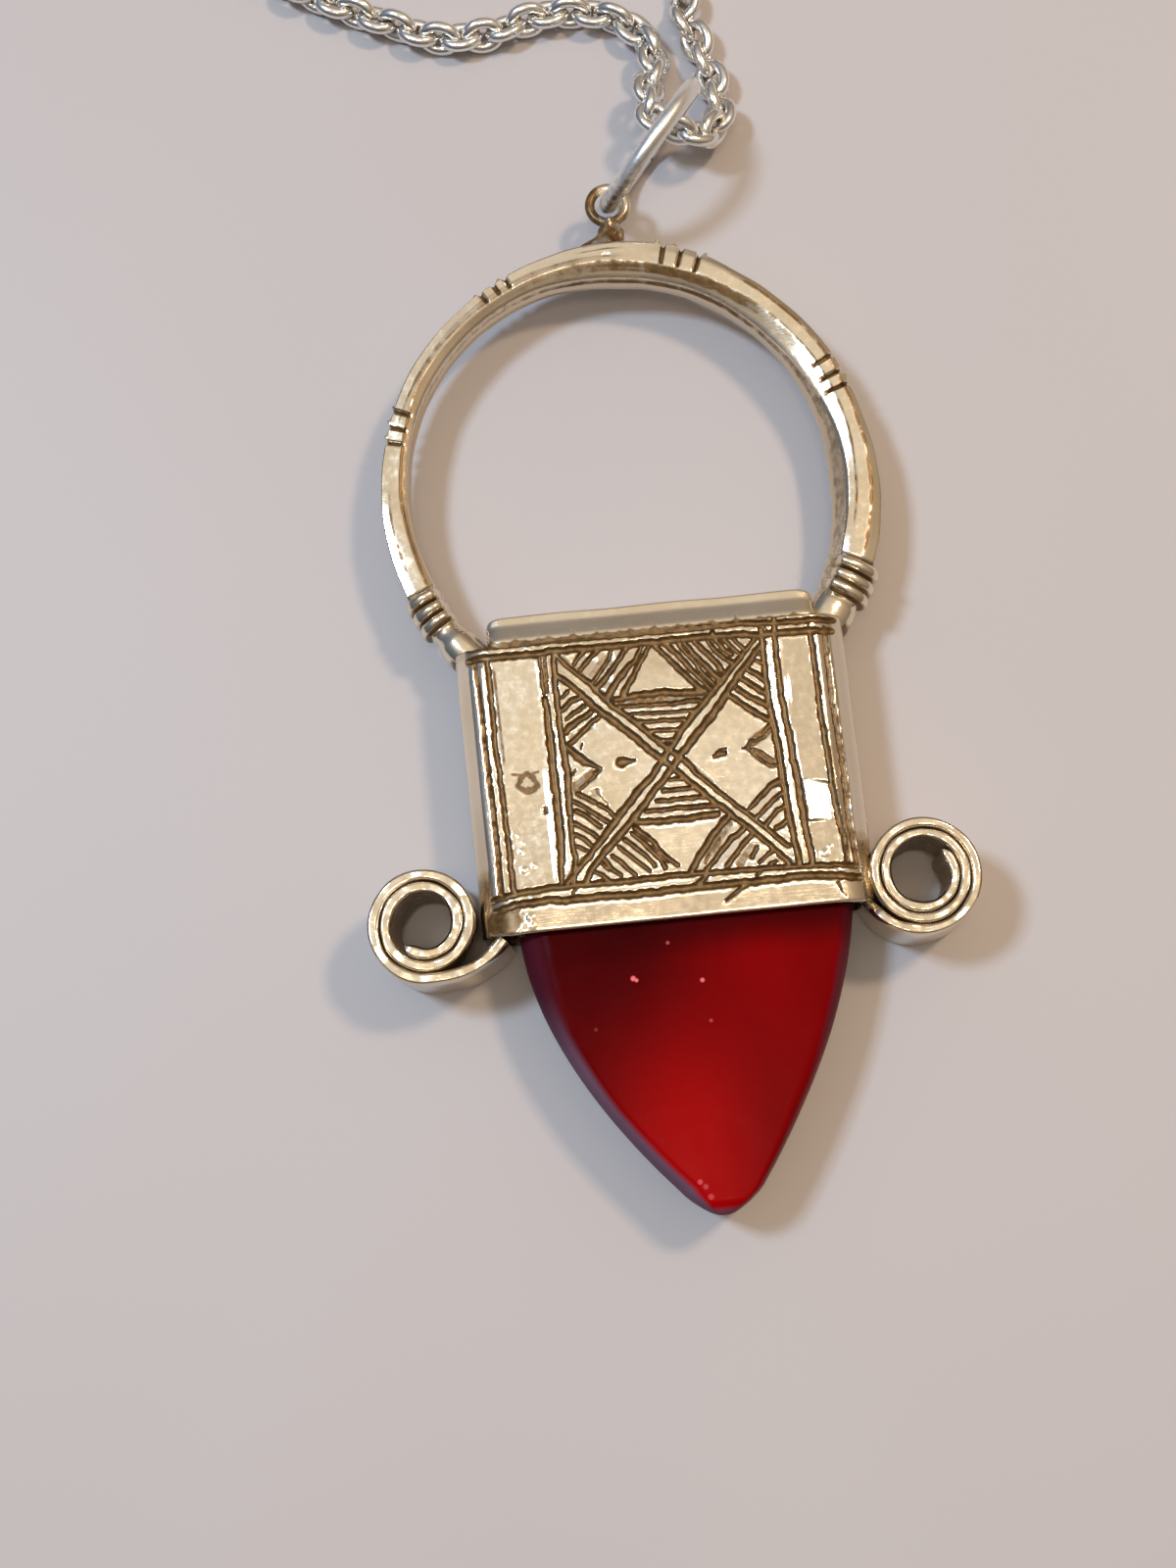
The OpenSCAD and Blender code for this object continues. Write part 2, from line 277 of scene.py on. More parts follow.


# Silver that was worn bright on its faces and kept its brown tarnish in lines and corners. The mesh
# says where the tarnish lies, together with painted shade in the tarnish's colour (patina, 0 to 1), and
# where the silver is duller, which in places is painted shade (tone); noise frays the tarnish at its
# edge, and scratches run over the rest.
# dark = (patina + fray noise), carried over from darkFrom and darkTo to 0 and 1; it leads from the
# bright silver's colour, gloss and metal to the tarnish's.
def silverMaterial(name, look):
    t = silverTexture
    material, tree, shader = newMaterial(name)
    link = tree.links.new
    coords = objectCoords(tree)
    clouds = spread(tree, noiseAt(tree, coords, t["clouds"]))
    fine = noiseAt(tree, coords, t["fine"], 4.0, 0.6)
    grain = noiseAt(tree, coords, t["grain"], 2.0)
    stretch = {"Vector": coords, "Scale": t["scratches"], "Rotation": t["scratchTurn"]}
    scratches = noiseAt(tree, addNode(tree, "Mapping", "Vector", stretch), 1.0, 2.0)
    fray = mapRange(tree, fine, 0.25, 0.75, -t["fray"], t["fray"])
    frayed = mathOf(tree, "ADD", attribute(tree, "patinaAndShade"), fray)
    dark = mapRange(tree, frayed, t["darkFrom"], t["darkTo"])
    bright = mixColour(tree, clouds, look["colour"], look["warm"])
    # tone mixes in the dull colour: duller silver, and painted shade where the pieces put it
    bright = mixColour(tree, attribute(tree, "toneAndShade"), bright, look["dull"])
    tarnish = mixColour(tree, mapRange(tree, fine, 0.35, 0.65), look["tarnish"], look["brown"])
    link(mixColour(tree, dark, bright, tarnish), shader.inputs["Base Color"])
    link(mapRange(tree, dark, 0.0, 1.0, 1.0, t["darkMetal"]), shader.inputs["Metallic"])
    gloss = spread(tree, fine, look["rough"] - t["smoother"], look["rough"] + t["rougher"])
    rough = mathOf(tree, "ADD", gloss, mapRange(tree, dark, 0.0, 1.0, 0.0, t["darkRough"]))
    link(rough, shader.inputs["Roughness"])
    height = mathOf(tree, "ADD", spread(tree, scratches, 0.0, t["scratchHeight"]),
                    spread(tree, fine, 0.0, t["fineHeight"]))
    height = mathOf(tree, "ADD", height, spread(tree, grain, 0.0, t["grainHeight"]))
    link(bumpOf(tree, height, look["relief"]), shader.inputs["Normal"])
    return material


engravedSilver = silverMaterial("engravedSilver", {
    "colour": (0.94, 0.85, 0.71), "warm": (0.88, 0.76, 0.57), "dull": (0.70, 0.59, 0.44),
    "tarnish": (0.085, 0.043, 0.011), "brown": (0.19, 0.106, 0.034), "rough": 0.15, "relief": 0.07})
wornSilver = silverMaterial("wornSilver", {
    "colour": (0.96, 0.95, 0.93), "warm": (0.93, 0.91, 0.86), "dull": (0.76, 0.74, 0.70),
    "tarnish": (0.10, 0.065, 0.035), "brown": (0.16, 0.10, 0.055), "rough": 0.36, "relief": 0.2})
chainSilver = silverMaterial("chainSilver", {
    "colour": (0.92, 0.91, 0.89), "warm": (0.87, 0.84, 0.78), "dull": (0.6, 0.57, 0.52),
    "tarnish": (0.12, 0.09, 0.06), "brown": (0.2, 0.15, 0.1), "rough": 0.16, "relief": 0.15})


# Deep red glass. The mesh holds painted light and shade, bright where light would pass through the red and
# dark under the case, and where its bevel was left ground (ground), with a painted mauve reflection on it;
# small pink flecks and spots are painted glints under its satin skin.
def glassMaterial(look):
    material, tree, shader = newMaterial("redGlass")
    link = tree.links.new
    coords = objectCoords(tree)
    cloudy = spread(tree, noiseAt(tree, coords, look["cloudScale"]), -look["cloudy"], look["cloudy"])
    lit = mathOf(tree, "ADD", attribute(tree, "paintedLightAndShade"), cloudy)
    body = mixColour(tree, lit, look["deep"], look["bright"])
    ground = attribute(tree, "ground")
    mauveReflectionColour = mixColour(tree, attribute(tree, "reflectedMauve"), look["maroon"], look["mauveReflectionColour"])
    colour = mixColour(tree, ground, body, mauveReflectionColour)
    # painted glints: random pink flecks and the listed spots are mixed into the colour
    fleckGap = addNode(tree, "TexVoronoi", "Distance", {"Vector": coords, "Scale": look["fleckScale"]})
    paintedGlint = mapRange(tree, fleckGap, *look["fleckEdge"], look["fleckGlow"], 0.0)
    for x, y, size, strong in look["glints"]:
        place = (x * mm, y * mm, look["glintZ"] * mm)
        gap = addNode(tree, "VectorMath", "Value", {0: coords, 1: place}, operation="DISTANCE")
        spot = mapRange(tree, gap, 0.5 * size * mm, size * mm, strong, 0.0)
        paintedGlint = mathOf(tree, "MAXIMUM", paintedGlint, spot)
    link(mixColour(tree, paintedGlint, colour, look["fleck"]), shader.inputs["Base Color"])
    shader.inputs["IOR"].default_value = 1.5
    shader.inputs["Specular IOR Level"].default_value = look["shine"]
    polish = spread(tree, noiseAt(tree, coords, look["polishScale"]), *look["rough"])
    rough = mathOf(tree, "ADD", polish, mathOf(tree, "MULTIPLY", ground, look["groundRough"]))
    link(rough, shader.inputs["Roughness"])
    link(bumpOf(tree, noiseAt(tree, coords, look["skinScale"]), look["relief"]), shader.inputs["Normal"])
    return material


redGlass = glassMaterial({
    # colours: the red in painted shade and in painted light, the ground bevel's maroon and its painted mauve
    # reflection, and the pink of the painted glints
    "deep": (0.036, 0.0003, 0.001), "bright": (0.33, 0.0006, 0.0014), "maroon": (0.060, 0.008, 0.016),
    "mauveReflectionColour": (0.15, 0.078, 0.115), "fleck": (0.80, 0.16, 0.18), "fleckEdge": (0.02, 0.04), "fleckGlow": 0.45,
    "cloudScale": 150, "cloudy": 0.04, "fleckScale": 330, "polishScale": 900, "skinScale": 1500,
    "shine": 0.02, "rough": (0.18, 0.28), "groundRough": 0.25, "relief": 0.12,
    # painted glints, small pink highlights: place, size, strength
    "glintZ": 5.3,
    "glints": [
        (-2.45, -9.7, 0.16, 1.0), (-2.3, -9.8, 0.12, 1.0), (0.9, -10.1, 0.14, 0.9), (1.12, -12.1, 0.12, 0.3),
        (-0.2, -19.75, 0.16, 0.4), (0.05, -20.0, 0.16, 0.3), (0.25, -20.5, 0.18, 0.3),
        (-4.5, -12.0, 0.12, 0.12)]})
print("materials ready")


# The case: a box with rounded long edges, its front engraved
case = {
    "halfWidth": 9.8, "thick": 6.0, "edgeR": 2.0, "top": 7.45, "foot": -7.05, "sheet": 0.6, "lean": -0.012,
    "cell": 0.057, "lineDepth": 0.13, "burrHeight": 0.011, "dentHeight": 0.22,
    # ribs at both sides (place and half width), and how high they and the fine inner ones stand
    "sideRibs": [(8.36, 0.3), (8.95, 0.34)], "ribHeight": 0.07, "fineRibHeight": 0.05,
    # where the ribs fade in, and where they fade out again
    "ribSpan": (-5.4, -5.0, 6.3, 6.7), "fineRibSpan": (-4.8, -4.4, 6.2, 6.6),
    "wornEdge": 0.12, "wornTop": 0.1,
    # the spot at the lower right that was filed flat: its two sides, and its slanting foot and top
    "spotSides": (6.78, 6.86, 8.02, 8.1), "spotFoot": (-2.4, -2.3), "spotTop": (0.96, 0.86),
    # the brown ring at the left: its middle, its radius and how far its line reaches
    "brownRing": (-6.62, 0.36, 0.42, 0.3),
    # the cuts: width at the start and at the end, then x and y of the points that the cut runs through
    "borders": [
        (0.27, 0.25, -9, 7.42, -5.6, 7.41, -3, 7.36, 0, 7.32, 2.3, 7.29, 4.2, 7.29, 5.4, 7.2, 6.2, 7.12,
         9.2, 7.08),
        (0.3, 0.29, -9, 6.86, -7.6, 6.84, -5.6, 6.8, -4.8, 6.86, -2.5, 6.8, 0, 6.78, 2.9, 6.79, 4.8, 6.69,
         5.4, 6.57, 6.5, 6.6, 7.6, 6.56, 9, 6.5),
        (0.27, 0.22, -8.9, -5.28, -7.8, -5.08, -6, -4.95, -4.3, -4.93, -2.5, -5, 0.4, -4.93, 2.3, -5, 3.8,
         -5.03, 5.4, -5.06, 7.1, -5.14, 8.95, -5.32),
        (0.3, 0.3, -8.8, -5.84, -7.8, -5.62, -6, -5.54, -5.3, -5.63, -3.7, -5.6, -1.9, -5.68, 0.4, -5.62,
         2.6, -5.62, 4.2, -5.63, 6.5, -5.58, 9, -5.88),
    ],
    "uprights": [
        (0.13, 0.14, -5.52, 6.7, -5.5, 5.6, -5.47, 4.75), (0.12, 0.12, -5.27, 6.7, -5.25, 5.5, -5.28, 4.8),
        (0.24, 0.34, -5.44, 4.5, -5.4, 3.9, -5.38, 3.2, -5.35, 2.3),
        (0.34, 0.32, -5.35, 2.3, -5.37, 1.3, -5.32, -0.3, -5.29, -2.15, -5.33, -3),
        (0.3, 0.18, -5.33, -3, -5.36, -3.5, -5.44, -4.4, -5.48, -4.9),
        (0.24, 0.24, -4.82, 6.7, -4.86, 4.8, -4.85, 4.1, -4.82, 3.2, -4.79, 2.2),
        (0.28, 0.26, -4.79, 2.2, -4.72, 1.4, -4.66, 0.7, -4.72, -0.3, -4.72, -1.4),
        (0.2, 0.22, -4.72, -1.4, -4.76, -2.8, -4.66, -3.6, -4.79, -4.4, -4.9, -4.9),
        (0.24, 0.24, 5.55, 6.9, 5.57, 6, 5.53, 4.4, 5.57, 3.1, 5.64, 2.4),
        (0.3, 0.32, 5.64, 2.4, 5.74, 1.4, 5.8, 0.35, 5.84, -0.9),
        (0.3, 0.26, 5.84, -0.9, 5.9, -2.15, 6.03, -3.4, 6.2, -4.9),
        (0.12, 0.24, 6.3, 7.75, 6.28, 7.4, 6.22, 7),
        (0.24, 0.22, 6.22, 7, 6.21, 6, 6.18, 5.1, 6.21, 3.8, 6.24, 3.1),
        (0.24, 0.3, 6.24, 3.1, 6.31, 2.2, 6.4, 1.3, 6.43, 0.35, 6.56, -0.9),
        (0.3, 0.26, 6.56, -0.9, 6.59, -1.8, 6.65, -3.1, 6.8, -4.4, 6.85, -4.95),
    ],
    # dark lines between the bright ribs at the two sides
    "sideLines": [
        (0.14, 0.22, -8.76, 6.6, -8.64, 4.8, -8.58, 2.3, -8.51, 0.4),
        (0.22, 0.24, -8.51, 0.4, -8.45, -1.5, -8.45, -3.3, -8.46, -5),
        (0.22, 0.2, -8.14, 6.7, -8.11, 4.9, -8.09, 3.8, -8.11, 2.3, -8.01, 1),
        (0.2, 0.24, -8.01, 1, -7.95, -0.8, -7.89, -2.7, -7.86, -4.9),
        (0.22, 0.22, 7.96, 6.6, 8.03, 4.8, 8.03, 2.3, 8.15, 0.4, 8.21, -1.5),
        (0.22, 0.24, 8.21, -1.5, 8.28, -2.7, 8.46, -4, 8.52, -5),
        (0.16, 0.2, 8.7, 6.7, 8.65, 4.8, 8.65, 2.9, 8.78, 1, 8.84, -0.8),
        (0.2, 0.18, 8.84, -0.8, 8.78, -2.7, 8.86, -4, 8.95, -5.2),
    ],
    "diagonals": [
        (0.16, 0.24, -4.75, 6.7, -4.1, 5.95, -3.72, 5.54, -3.1, 5.02, -2.91, 4.7),
        (0.24, 0.28, -2.91, 4.7, -2.47, 4.16, -2.16, 3.79, -1.6, 3.35, -1.22, 2.97, -0.85, 2.6, -0.41,
         2.16, 0.03, 1.68, 0.4, 1.35, 0.9, 0.88),
        (0.26, 0.18, 0.9, 0.88, 1.34, 0.48, 1.59, 0.04, 1.96, -0.34, 2.34, -0.7),
        (0.18, 0.22, 2.34, -0.7, 2.71, -1.1, 3.09, -1.46, 3.46, -1.84, 3.9, -2.2, 4.28, -2.6, 4.65, -2.96,
         5.03, -3.34, 5.4, -3.72, 5.72, -4.05),
        (0.22, 0.3, -4.8, 5.66, -4.35, 5.29, -4.04, 4.97, -3.72, 4.63, -3.41, 4.29, -3.1, 3.91, -2.79, 3.6,
         -2.54, 3.35),
        (0.3, 0.28, -2.54, 3.35, -2.1, 2.97, -1.6, 2.5, -1.1, 1.97, -0.6, 1.47, -0.16, 1.02, 0.3, 0.6),
        (0.26, 0.22, 0.3, 0.6, 0.78, 0.14, 1.2, -0.34, 1.65, -0.78, 2.03, -1.15, 2.46, -1.58, 2.84, -1.92,
         3.2, -2.3, 3.65, -2.7, 4.03, -3.1, 4.4, -3.46, 4.78, -3.84, 5.15, -4.26, 5.5, -4.62, 5.7, -4.9),
        (0.16, 0.28, 5.3, 6.5, 4.95, 6.18, 4.71, 5.91, 4.4, 5.54, 3.9, 5.08, 3.53, 4.7),
        (0.3, 0.28, 3.53, 4.7, 3.09, 4.22, 2.71, 3.82, 2.28, 3.38, 1.84, 2.98, 1.46, 2.58, 1.03, 2.08,
         0.65, 1.56, 0.3, 1.15, -0.04, 0.72),
        (0.26, 0.32, -0.04, 0.72, -0.41, 0.2, -0.85, -0.21, -1.22, -0.5, -1.54, -0.9, -1.91, -1.28, -2.22,
         -1.6, -2.54, -1.94),
        (0.3, 0.22, -2.54, -1.94, -2.91, -2.4, -3.29, -2.82, -3.66, -3.2, -4.04, -3.62, -4.41, -3.98,
         -4.79, -4.4, -5.2, -4.75),
        (0.26, 0.32, 5.6, 6.15, 5.4, 6, 5.09, 5.62, 4.78, 5.27, 4.4, 4.86, 4.09, 4.5, 3.78, 4.12, 3.46,
         3.73, 3.15, 3.32, 2.78, 2.85),
        (0.34, 0.28, 2.78, 2.85, 2.34, 2.41, 1.96, 2.04, 1.65, 1.7, 1.28, 1.29, 0.9, 0.88, 0.34, 0.2),
        (0.26, 0.3, 0.34, 0.2, 0.03, -0.15, -0.41, -0.58, -0.79, -0.98, -1.1, -1.38, -1.48, -1.72, -1.72,
         -2.05, -2.1, -2.4, -2.48, -2.76),
        (0.3, 0.26, -2.48, -2.76, -2.91, -3.15, -3.29, -3.55, -3.73, -4.02, -4.04, -4.4, -4.28, -4.85),
    ],
    # the hatching in the quarters: top, right, bottom, left
    "hatches": [
        (0.28, 0.16, -1.58, 4.25, -1.1, 5, -0.5, 5.9, -0.04, 6.6),
        (0.34, 0.16, -2.36, 4.26, -1.9, 4.85, -1.3, 5.55, -0.8, 6, -0.42, 6.6),
        (0.26, 0.2, -2.8, 4.78, -2.2, 5.4, -1.7, 5.95, -1.2, 6.6),
        (0.18, 0.14, -2.93, 5.14, -2.5, 5.65, -2.1, 6.2, -1.91, 6.65),
        (0.2, 0.2, -3.55, 5.78, -3.1, 6.25, -2.54, 6.7), (0.14, 0.22, -3.85, 6.04, -3.55, 6.45, -3.29, 6.7),
        (0.2, 0.27, 0.2, 6.65, 1.03, 5.66, 1.65, 4.91, 2.1, 4.38, 2.46, 4.04),
        (0.26, 0.17, 0.78, 6.66, 1.34, 6.02, 1.96, 5.16, 2.59, 4.38, 2.8, 4.12),
        (0.2, 0.16, 1.4, 6.6, 2.03, 5.72, 2.46, 5, 2.96, 4.3),
        (0.18, 0.28, 1.68, 6.62, 2.28, 5.8, 2.78, 5.15, 3.2, 4.64),
        (0.2, 0.26, 2.22, 6.6, 2.78, 5.95, 3.2, 5.42, 3.42, 5),
        (0.16, 0.24, 2.85, 6.6, 3.2, 6.05, 3.6, 5.62, 3.9, 5.38),
        (0.24, 0.2, 3.17, 6.95, 3.3, 6.5, 3.6, 6.1, 4, 5.78), (0.18, 0.16, 3.7, 6.55, 4.03, 6.1, 4.4, 5.72),
        (0.16, 0.14, 4.12, 6.6, 4.4, 6.2, 4.68, 5.88),
        (0.26, 0.3, -1.92, 4.08, -1.3, 4.16, -0.4, 4.2, 0.4, 4.2), (0.3, 0.28, 0.4, 4.2, 1.34, 4.1, 2.3, 4),
        (0.16, 0.22, -1.9, 3.72, -0.6, 3.66, 0.6, 3.6, 2.15, 3.64),
        (0.14, 0.16, -1.35, 3.28, -0.4, 3.24, 0.4, 3.18, 1.9, 3.14),
        (0.16, 0.2, -1.04, 2.86, 0, 2.8, 1.3, 2.74), (0.18, 0.18, -0.54, 2.34, 0.4, 2.29, 1, 2.29),
        (0.18, 0.16, -0.1, 1.82, 0.4, 1.79, 0.8, 1.8), (0.14, 0.14, 5.1, 5.85, 5.5, 5.54),
        (0.14, 0.16, 5.02, 5.42, 5.48, 5.12), (0.2, 0.26, 4.7, 4.92, 5.1, 4.66, 5.5, 4.28),
        (0.24, 0.26, 4.26, 4.56, 4.78, 4.16, 5.22, 3.78, 5.55, 3.62),
        (0.22, 0.28, 4.07, 4, 4.65, 3.54, 5.15, 3.22, 5.58, 2.94),
        (0.24, 0.26, 3.68, 3.7, 4.28, 3.16, 4.9, 2.66, 5.6, 2.22),
        (0.16, 0.3, 3.95, -2.12, 4.65, -1.5, 5.15, -1.04, 5.7, -0.82),
        (0.18, 0.2, 4.38, -2.48, 4.9, -2.02, 5.4, -1.64, 5.72, -1.42),
        (0.2, 0.18, 4.7, -2.98, 5.03, -2.62, 5.4, -2.26, 5.78, -2.06), (0.2, 0.2, 5.25, -3.14, 5.78, -2.82),
        (0.14, 0.18, 0.3, -0.2, 1.05, -0.22), (0.2, 0.18, -0.05, -0.7, 0.6, -0.72, 1.5, -0.7),
        (0.19, 0.19, -0.45, -1.2, 0.6, -1.2, 1.95, -1.2), (0.18, 0.24, -1, -1.66, 0.6, -1.64, 2.5, -1.7),
        (0.26, 0.28, -1.56, -2.12, -0.4, -2.2, 0.6, -2.2, 1.6, -2.17, 2.46, -2.1),
        (0.22, 0.18, -1.62, -2.38, -1.29, -2.7, -0.85, -3.15, -0.54, -3.6, -0.1, -4.15, 0.28, -4.48),
        (0.18, 0.2, -1.8, -2.68, -1.3, -3.15, -0.9, -3.65, -0.6, -4, -0.34, -4.5),
        (0.08, 0.12, -0.95, -3.4, -0.6, -3.75, -0.2, -4.25),
        (0.19, 0.17, -2.18, -2.94, -1.66, -3.4, -1.22, -3.84, -0.85, -4.36),
        (0.18, 0.15, -2.5, -3.26, -2.1, -3.65, -1.6, -4.15, -1.1, -4.62),
        (0.19, 0.16, -2.86, -3.68, -2.48, -4.02, -2.16, -4.4, -1.8, -4.72),
        (0.18, 0.16, -3.24, -3.84, -2.98, -4.28, -2.52, -4.68), (0.14, 0.12, -3.36, -4.08, -3.1, -4.36),
        (0.14, 0.2, -3.85, -4.32, -3.4, -4.6, -3.18, -4.86),
        (0.26, 0.3, 0.88, -4.82, 1.46, -4.03, 1.96, -3.36, 2.46, -2.8, 2.95, -2.36),
        (0.1, 0.1, 1.62, -4.45, 2.05, -3.8, 2.48, -3.35),
        (0.2, 0.26, 1.65, -4.8, 2.15, -4.34, 2.6, -3.84, 3.03, -3.4, 3.62, -3.04),
        (0.2, 0.22, 2.65, -4.75, 3.15, -4.2, 3.53, -3.77, 3.98, -3.38), (0.2, 0.16, 3.95, -4.4, 4.2, -3.95),
        (0.14, 0.18, 4.26, -4.72, 4.6, -4.45, 4.92, -4.22), (0.12, 0.14, 4.75, -4.86, 5.1, -4.72),
        (0.12, 0.2, -4.58, 4.46, -4.3, 4.74), (0.22, 0.24, -4.62, 3.84, -4.16, 4.24, -3.78, 4.36),
        (0.14, 0.2, -4.5, 3.34, -4.04, 3.66, -3.54, 3.92),
        (0.28, 0.24, -4.56, 2.72, -4.04, 3.16, -3.54, 3.4, -3.22, 3.6),
        (0.22, 0.2, -4.38, 2.14, -3.72, 2.66, -3.1, 3.16, -2.9, 3.3),
        (0.2, 0.2, -4.3, -0.4, -3.85, -0.7, -3.48, -0.92),
        (0.16, 0.2, -3.3, -1.05, -2.9, -1.35, -2.54, -1.78),
        (0.17, 0.2, -4.56, -0.76, -4.04, -1.1, -3.54, -1.48, -2.96, -1.98),
        (0.2, 0.2, -4.42, -1.27, -3.98, -1.58, -3.54, -1.98, -3.28, -2.2),
        (0.18, 0.19, -4.56, -1.88, -4.1, -2.2, -3.72, -2.46, -3.52, -2.7),
        (0.17, 0.18, -4.56, -2.44, -4.16, -2.7, -3.86, -3.02), (0.15, 0.17, -4.58, -3.02, -4.06, -3.3),
    ],
    # leaves at the sides, a mark in each diamond, and marks that slipped
    "marks": [
        (0.2, 0.36, -4.62, 2.05, -4.1, 1.45), (0.36, 0.3, -4.1, 1.45, -3.8, 1.12),
        (0.3, 0.1, -3.8, 1.12, -2.98, 0.72), (0.1, 0.2, -2.98, 0.68, -3.3, 0.5),
        (0.12, 0.12, -3.3, 0.42, -3.66, 0.13, -4.12, -0.26), (0.1, 0.07, -4.42, 0.56, -4.24, 0.8),
        (0.09, 0.07, -3.9, 1.78, -3.8, 2.08), (0.06, 0.05, -3.3, -0.28, -3.23, -0.6, -2.8, -1.15),
        (0.14, 0.42, -2.14, 0.9, -1.98, 0.92), (0.42, 0.06, -1.98, 0.92, -1.28, 0.95),
        (0.16, 0.2, 2.6, 0.74, 2.8, 0.8), (0.24, 0.26, 2.8, 0.84, 3.08, 0.84),
        (0.1, 0.12, 2.9, 1.02, 3.2, 1.05), (0.2, 0.12, 5.5, 2.05, 5.1, 1.62),
        (0.14, 0.12, 4.2, 1, 4.5, 1.34, 4.75, 1.3, 5.2, 1.5), (0.1, 0.06, 4.22, 1.02, 3.98, 1),
        (0.14, 0.16, 4.3, 0.96, 4.75, 0.42, 5.3, 0, 5.62, -0.05),
        (0.1, 0.12, 4.5, 0.9, 4.95, 0.72, 5.5, 0.15), (0.14, 0.1, -4.72, -5.05, -4.98, -5.34),
        (0.22, 0.2, 1.62, -5.1, 1.2, -5.46), (0.14, 0.1, 4.32, -5.14, 4.04, -5.34),
        (0.2, 0.12, 3.5, -5.72, 3.1, -5.98, 2.45, -6.4), (0.26, 0.16, 3.42, -5.6, 3.5, -5.8),
        (0.1, 0.12, -5.95, -0.95, -5.93, -1.2), (0.12, 0.05, 7.96, -6.07, 8.1, -6.5, 8.27, -6.8),
        (0.1, 0.07, 7.94, 6.9, 7.98, 6.6), (0.09, 0.06, 5.7, 7, 5.86, 6.7),
    ],
    # shallow places where the tarnish is only a film: width, how dark, and the two ends; the three at the
    # lower left corner, near x -8.7 and y -6.3, are painted shade
    "films": [
        (0.6, 0.68, -4.4, -0.08, -3.45, 0.45), (0.55, 0.78, 5.3, 1.75, 4.5, 1.22),
        (0.48, 0.78, 4.6, 0.75, 5.45, 0.12), (0.34, 0.74, -4.4, 1.9, -3.7, 1.1),
        (0.66, 0.58, -2.95, 5.35, -2.15, 6.2), (0.42, 0.66, -4.6, 6.5, -3.6, 5.65),
        (0.34, 0.64, -3.6, 5.6, -2.6, 4.5), (0.46, 0.68, -1.8, 4, 2.2, 3.95),
        (1.3, 0.48, 1.7, -4.5, 3.3, -3.3), (1.1, 0.46, -3.4, 6.1, -2.6, 5.3),
        (0.8, 0.46, 4.4, -2.3, 5.3, -1.3), (0.55, 0.68, 1.9, -4, 2.95, -2.65),
        (0.46, 0.64, 3.3, -4.75, 4.05, -3.9), (0.38, 0.64, -4.3, -3.75, -5.2, -4.65),
        (0.34, 0.56, -3.5, -0.45, -3.25, -0.4), (0.4, 0.62, 5.3, -4.5, 5.62, -4.8),
        (0.38, 0.66, 1.2, -5.4, 1.6, -5.2), (0.34, 0.68, -5.38, 6.6, -5.38, 4.9),
        (0.34, 0.64, 1.5, 0.3, 2.3, -0.6), (0.55, 0.62, -8.6, -6.1, -7.6, -6.3),
        (0.34, 0.72, -8.7, -6.6, -7.7, -5.9), (1.3, 0.96, -8.8, -6.35, -8.2, -6.4),
        (0.4, 0.56, 5.9, 0.5, 5.95, -3), (0.3, 0.58, 6.5, 1.5, 6.7, -2.5),
        (0.34, 0.58, -3.3, 2.9, -4.4, 2.4),
    ],
    # small bright dents and burrs: place and radius
    "dents": [
        (-7.32, -3, 0.2), (-7.2, -2.6, 0.12), (-7.26, -3.95, 0.26), (-6.76, -3.75, 0.18),
        (-7.45, -2.2, 0.12), (7.4, -4.6, 0.32), (7.7, -4.3, 0.18), (7.15, 8.3, 0.2), (0.59, 0.73, 0.16),
        (0.6, 0.02, 0.12), (0.2, 0.42, 0.14), (0.09, 1.2, 0.12), (0.9, 0.36, 0.12), (5.9, -4.7, 0.28),
        (-0.2, 2.1, 0.12), (-3, 3.46, 0.12), (-3.66, 4.2, 0.14), (-7, -5.4, 0.2), (-7.2, -6.3, 0.3),
        (-7.15, -6.7, 0.26), (1.3, -5.08, 0.1), (7.2, -5.75, 0.16), (-5.96, 7.1, 0.14), (2.75, -2.3, 0.14),
        (5.55, -1.16, 0.12), (5.6, -2.6, 0.12), (5.6, -3.25, 0.14), (4.6, -4.3, 0.12),
    ],
}


